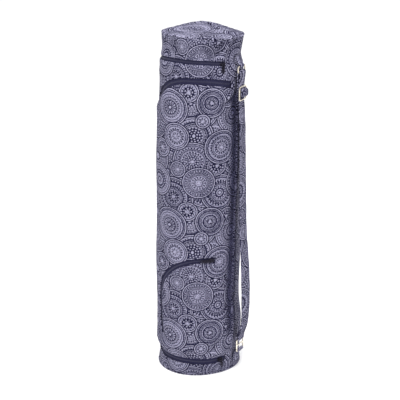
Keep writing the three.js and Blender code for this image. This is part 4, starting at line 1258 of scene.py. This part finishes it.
def sewStitches(name, surface, lines):
    mesh = surface.data
    tree = BVHTree.FromPolygons([v.co[:] for v in mesh.vertices], [p.vertices[:] for p in mesh.polygons])
    points, faces = [], []
    for line in lines:
        run = np.r_[0, np.cumsum(np.linalg.norm(np.diff(line, axis=0), axis=1))]
        at = np.arange(sewing["pitch"] / 2, run[-1] / mm - sewing["pitch"] / 2, sewing["pitch"]) * mm
        spots = np.stack([np.interp(at, run, line[:, k]) for k in range(3)], -1)
        for spot, way in zip(spots, np.gradient(spots, axis=0)):
            place, normal, _, _ = tree.find_nearest(Vector(spot))
            if (Vector(spot) - place).dot(normal) < 0:
                normal = -normal
            way = Vector(way)
            way = (way - normal * way.dot(normal)).normalized()
            side = normal.cross(way)
            start = len(points)
            for along, wide, up in stitchRows:
                middle = place + way * (along * sewing["long"] * mm) + normal * (up * sewing["thick"] * mm)
                reach = wide * sewing["thick"] / 2 * mm
                for t in np.linspace(0, math.tau, sewing["sides"], endpoint=False):
                    off = side * (math.cos(t) * reach * sewing["flat"]) + normal * (math.sin(t) * reach)
                    points.append((middle + off)[:])
            faces += [[start + k for k in face] for face in stitchFaces]
    return makeMesh(name, points, faces, threadLook)


def overCloth(angle, z, radius=tubeRadius):
    return bagPoint(angle, z, clothRadius(radius, angle, z) + sewing["above"])


# side is 0 for the left of a zip, 1 for its right
def hemLine(zipName, side, radius):
    flat = edgesOf(zipName, sewing["fromEdge"])[side]
    return overCloth(angleOf(flat[:, 0]), flat[:, 1], radius)


def seamSideLine(off, radius):
    z = np.linspace(*sewing["seamRun"], 260)
    return overCloth(seamAngle(z) + float(angleOf(off)), z, radius)


aroundBag = np.linspace(-180, 180, 400)
sewStitches("wallStitches", wallPiece, [
    hemLine("lid", 0, tubeRadius), hemLine("door", 1, tubeRadius),
    overCloth(aroundBag, np.full(len(aroundBag), sewing["baseHem"])),
    seamSideLine(sewing["seamRight"], tubeRadius),
])
sewStitches("doorStitches", doorPiece, [
    hemLine("door", 0, doorRadius), hemLine("pocket", 0, doorRadius), hemLine("pocket", 1, doorRadius),
    seamSideLine(sewing["seamLeft"], doorRadius),
])
lidHem = rimHeight(aroundBag) - bag["disc"] - sewing["lidHem"]
sewStitches("lidStitches", lidPiece, [hemLine("lid", 1, tubeRadius), overCloth(aroundBag, lidHem)])
for bandName, (band, lines) in bandStitches.items():
    sewStitches(bandName + "Stitches", band, lines)
print("hems sewn")


# White paper sweep: matt, with hardly a highlight
def mattPaper(add):
    return {"Base Color": linear("#fbfbfb"), "Roughness": 0.9, "Specular IOR Level": 0.1}


floorReach = 40
floorMesh = bpy.data.meshes.new("floor")
corners = [(x * floorReach, y * floorReach, 0) for x, y in ((-1, -1), (1, -1), (1, 1), (-1, 1))]
floorMesh.from_pydata(corners, [], [(0, 1, 2, 3)])
floorMesh.materials.append(makeMaterial("matteWhiteSweep", mattPaper))
floor = addObject("floor", floorMesh)

# a bright room, and two soft square lamps that look at the middle of the bag
world = bpy.data.worlds.new("softRoom")
world.use_nodes = True
background = world.node_tree.nodes["Background"]
background.inputs["Color"].default_value = (1, 1, 1, 1)
background.inputs["Strength"].default_value = 0.98
scene.world = world
lamps = {
    "key": {"watts": 80, "place": (0.9, -2.1, 3.3), "size": 2.0},
    "top": {"watts": 26, "place": (0.1, -0.3, 2.3), "size": 1.2},
}
lampAim = Vector((0, 0, 0.35))
for name, lamp in lamps.items():
    lightData = bpy.data.lights.new(name + "Light", "AREA")
    lightData.shape, lightData.size, lightData.energy = "SQUARE", lamp["size"], lamp["watts"]
    holder = addObject(name + "Light", lightData)
    holder.location = lamp["place"]
    holder.rotation_euler = (lampAim - holder.location).to_track_quat("-Z", "Y").to_euler()
scene.view_settings.view_transform = "Standard"

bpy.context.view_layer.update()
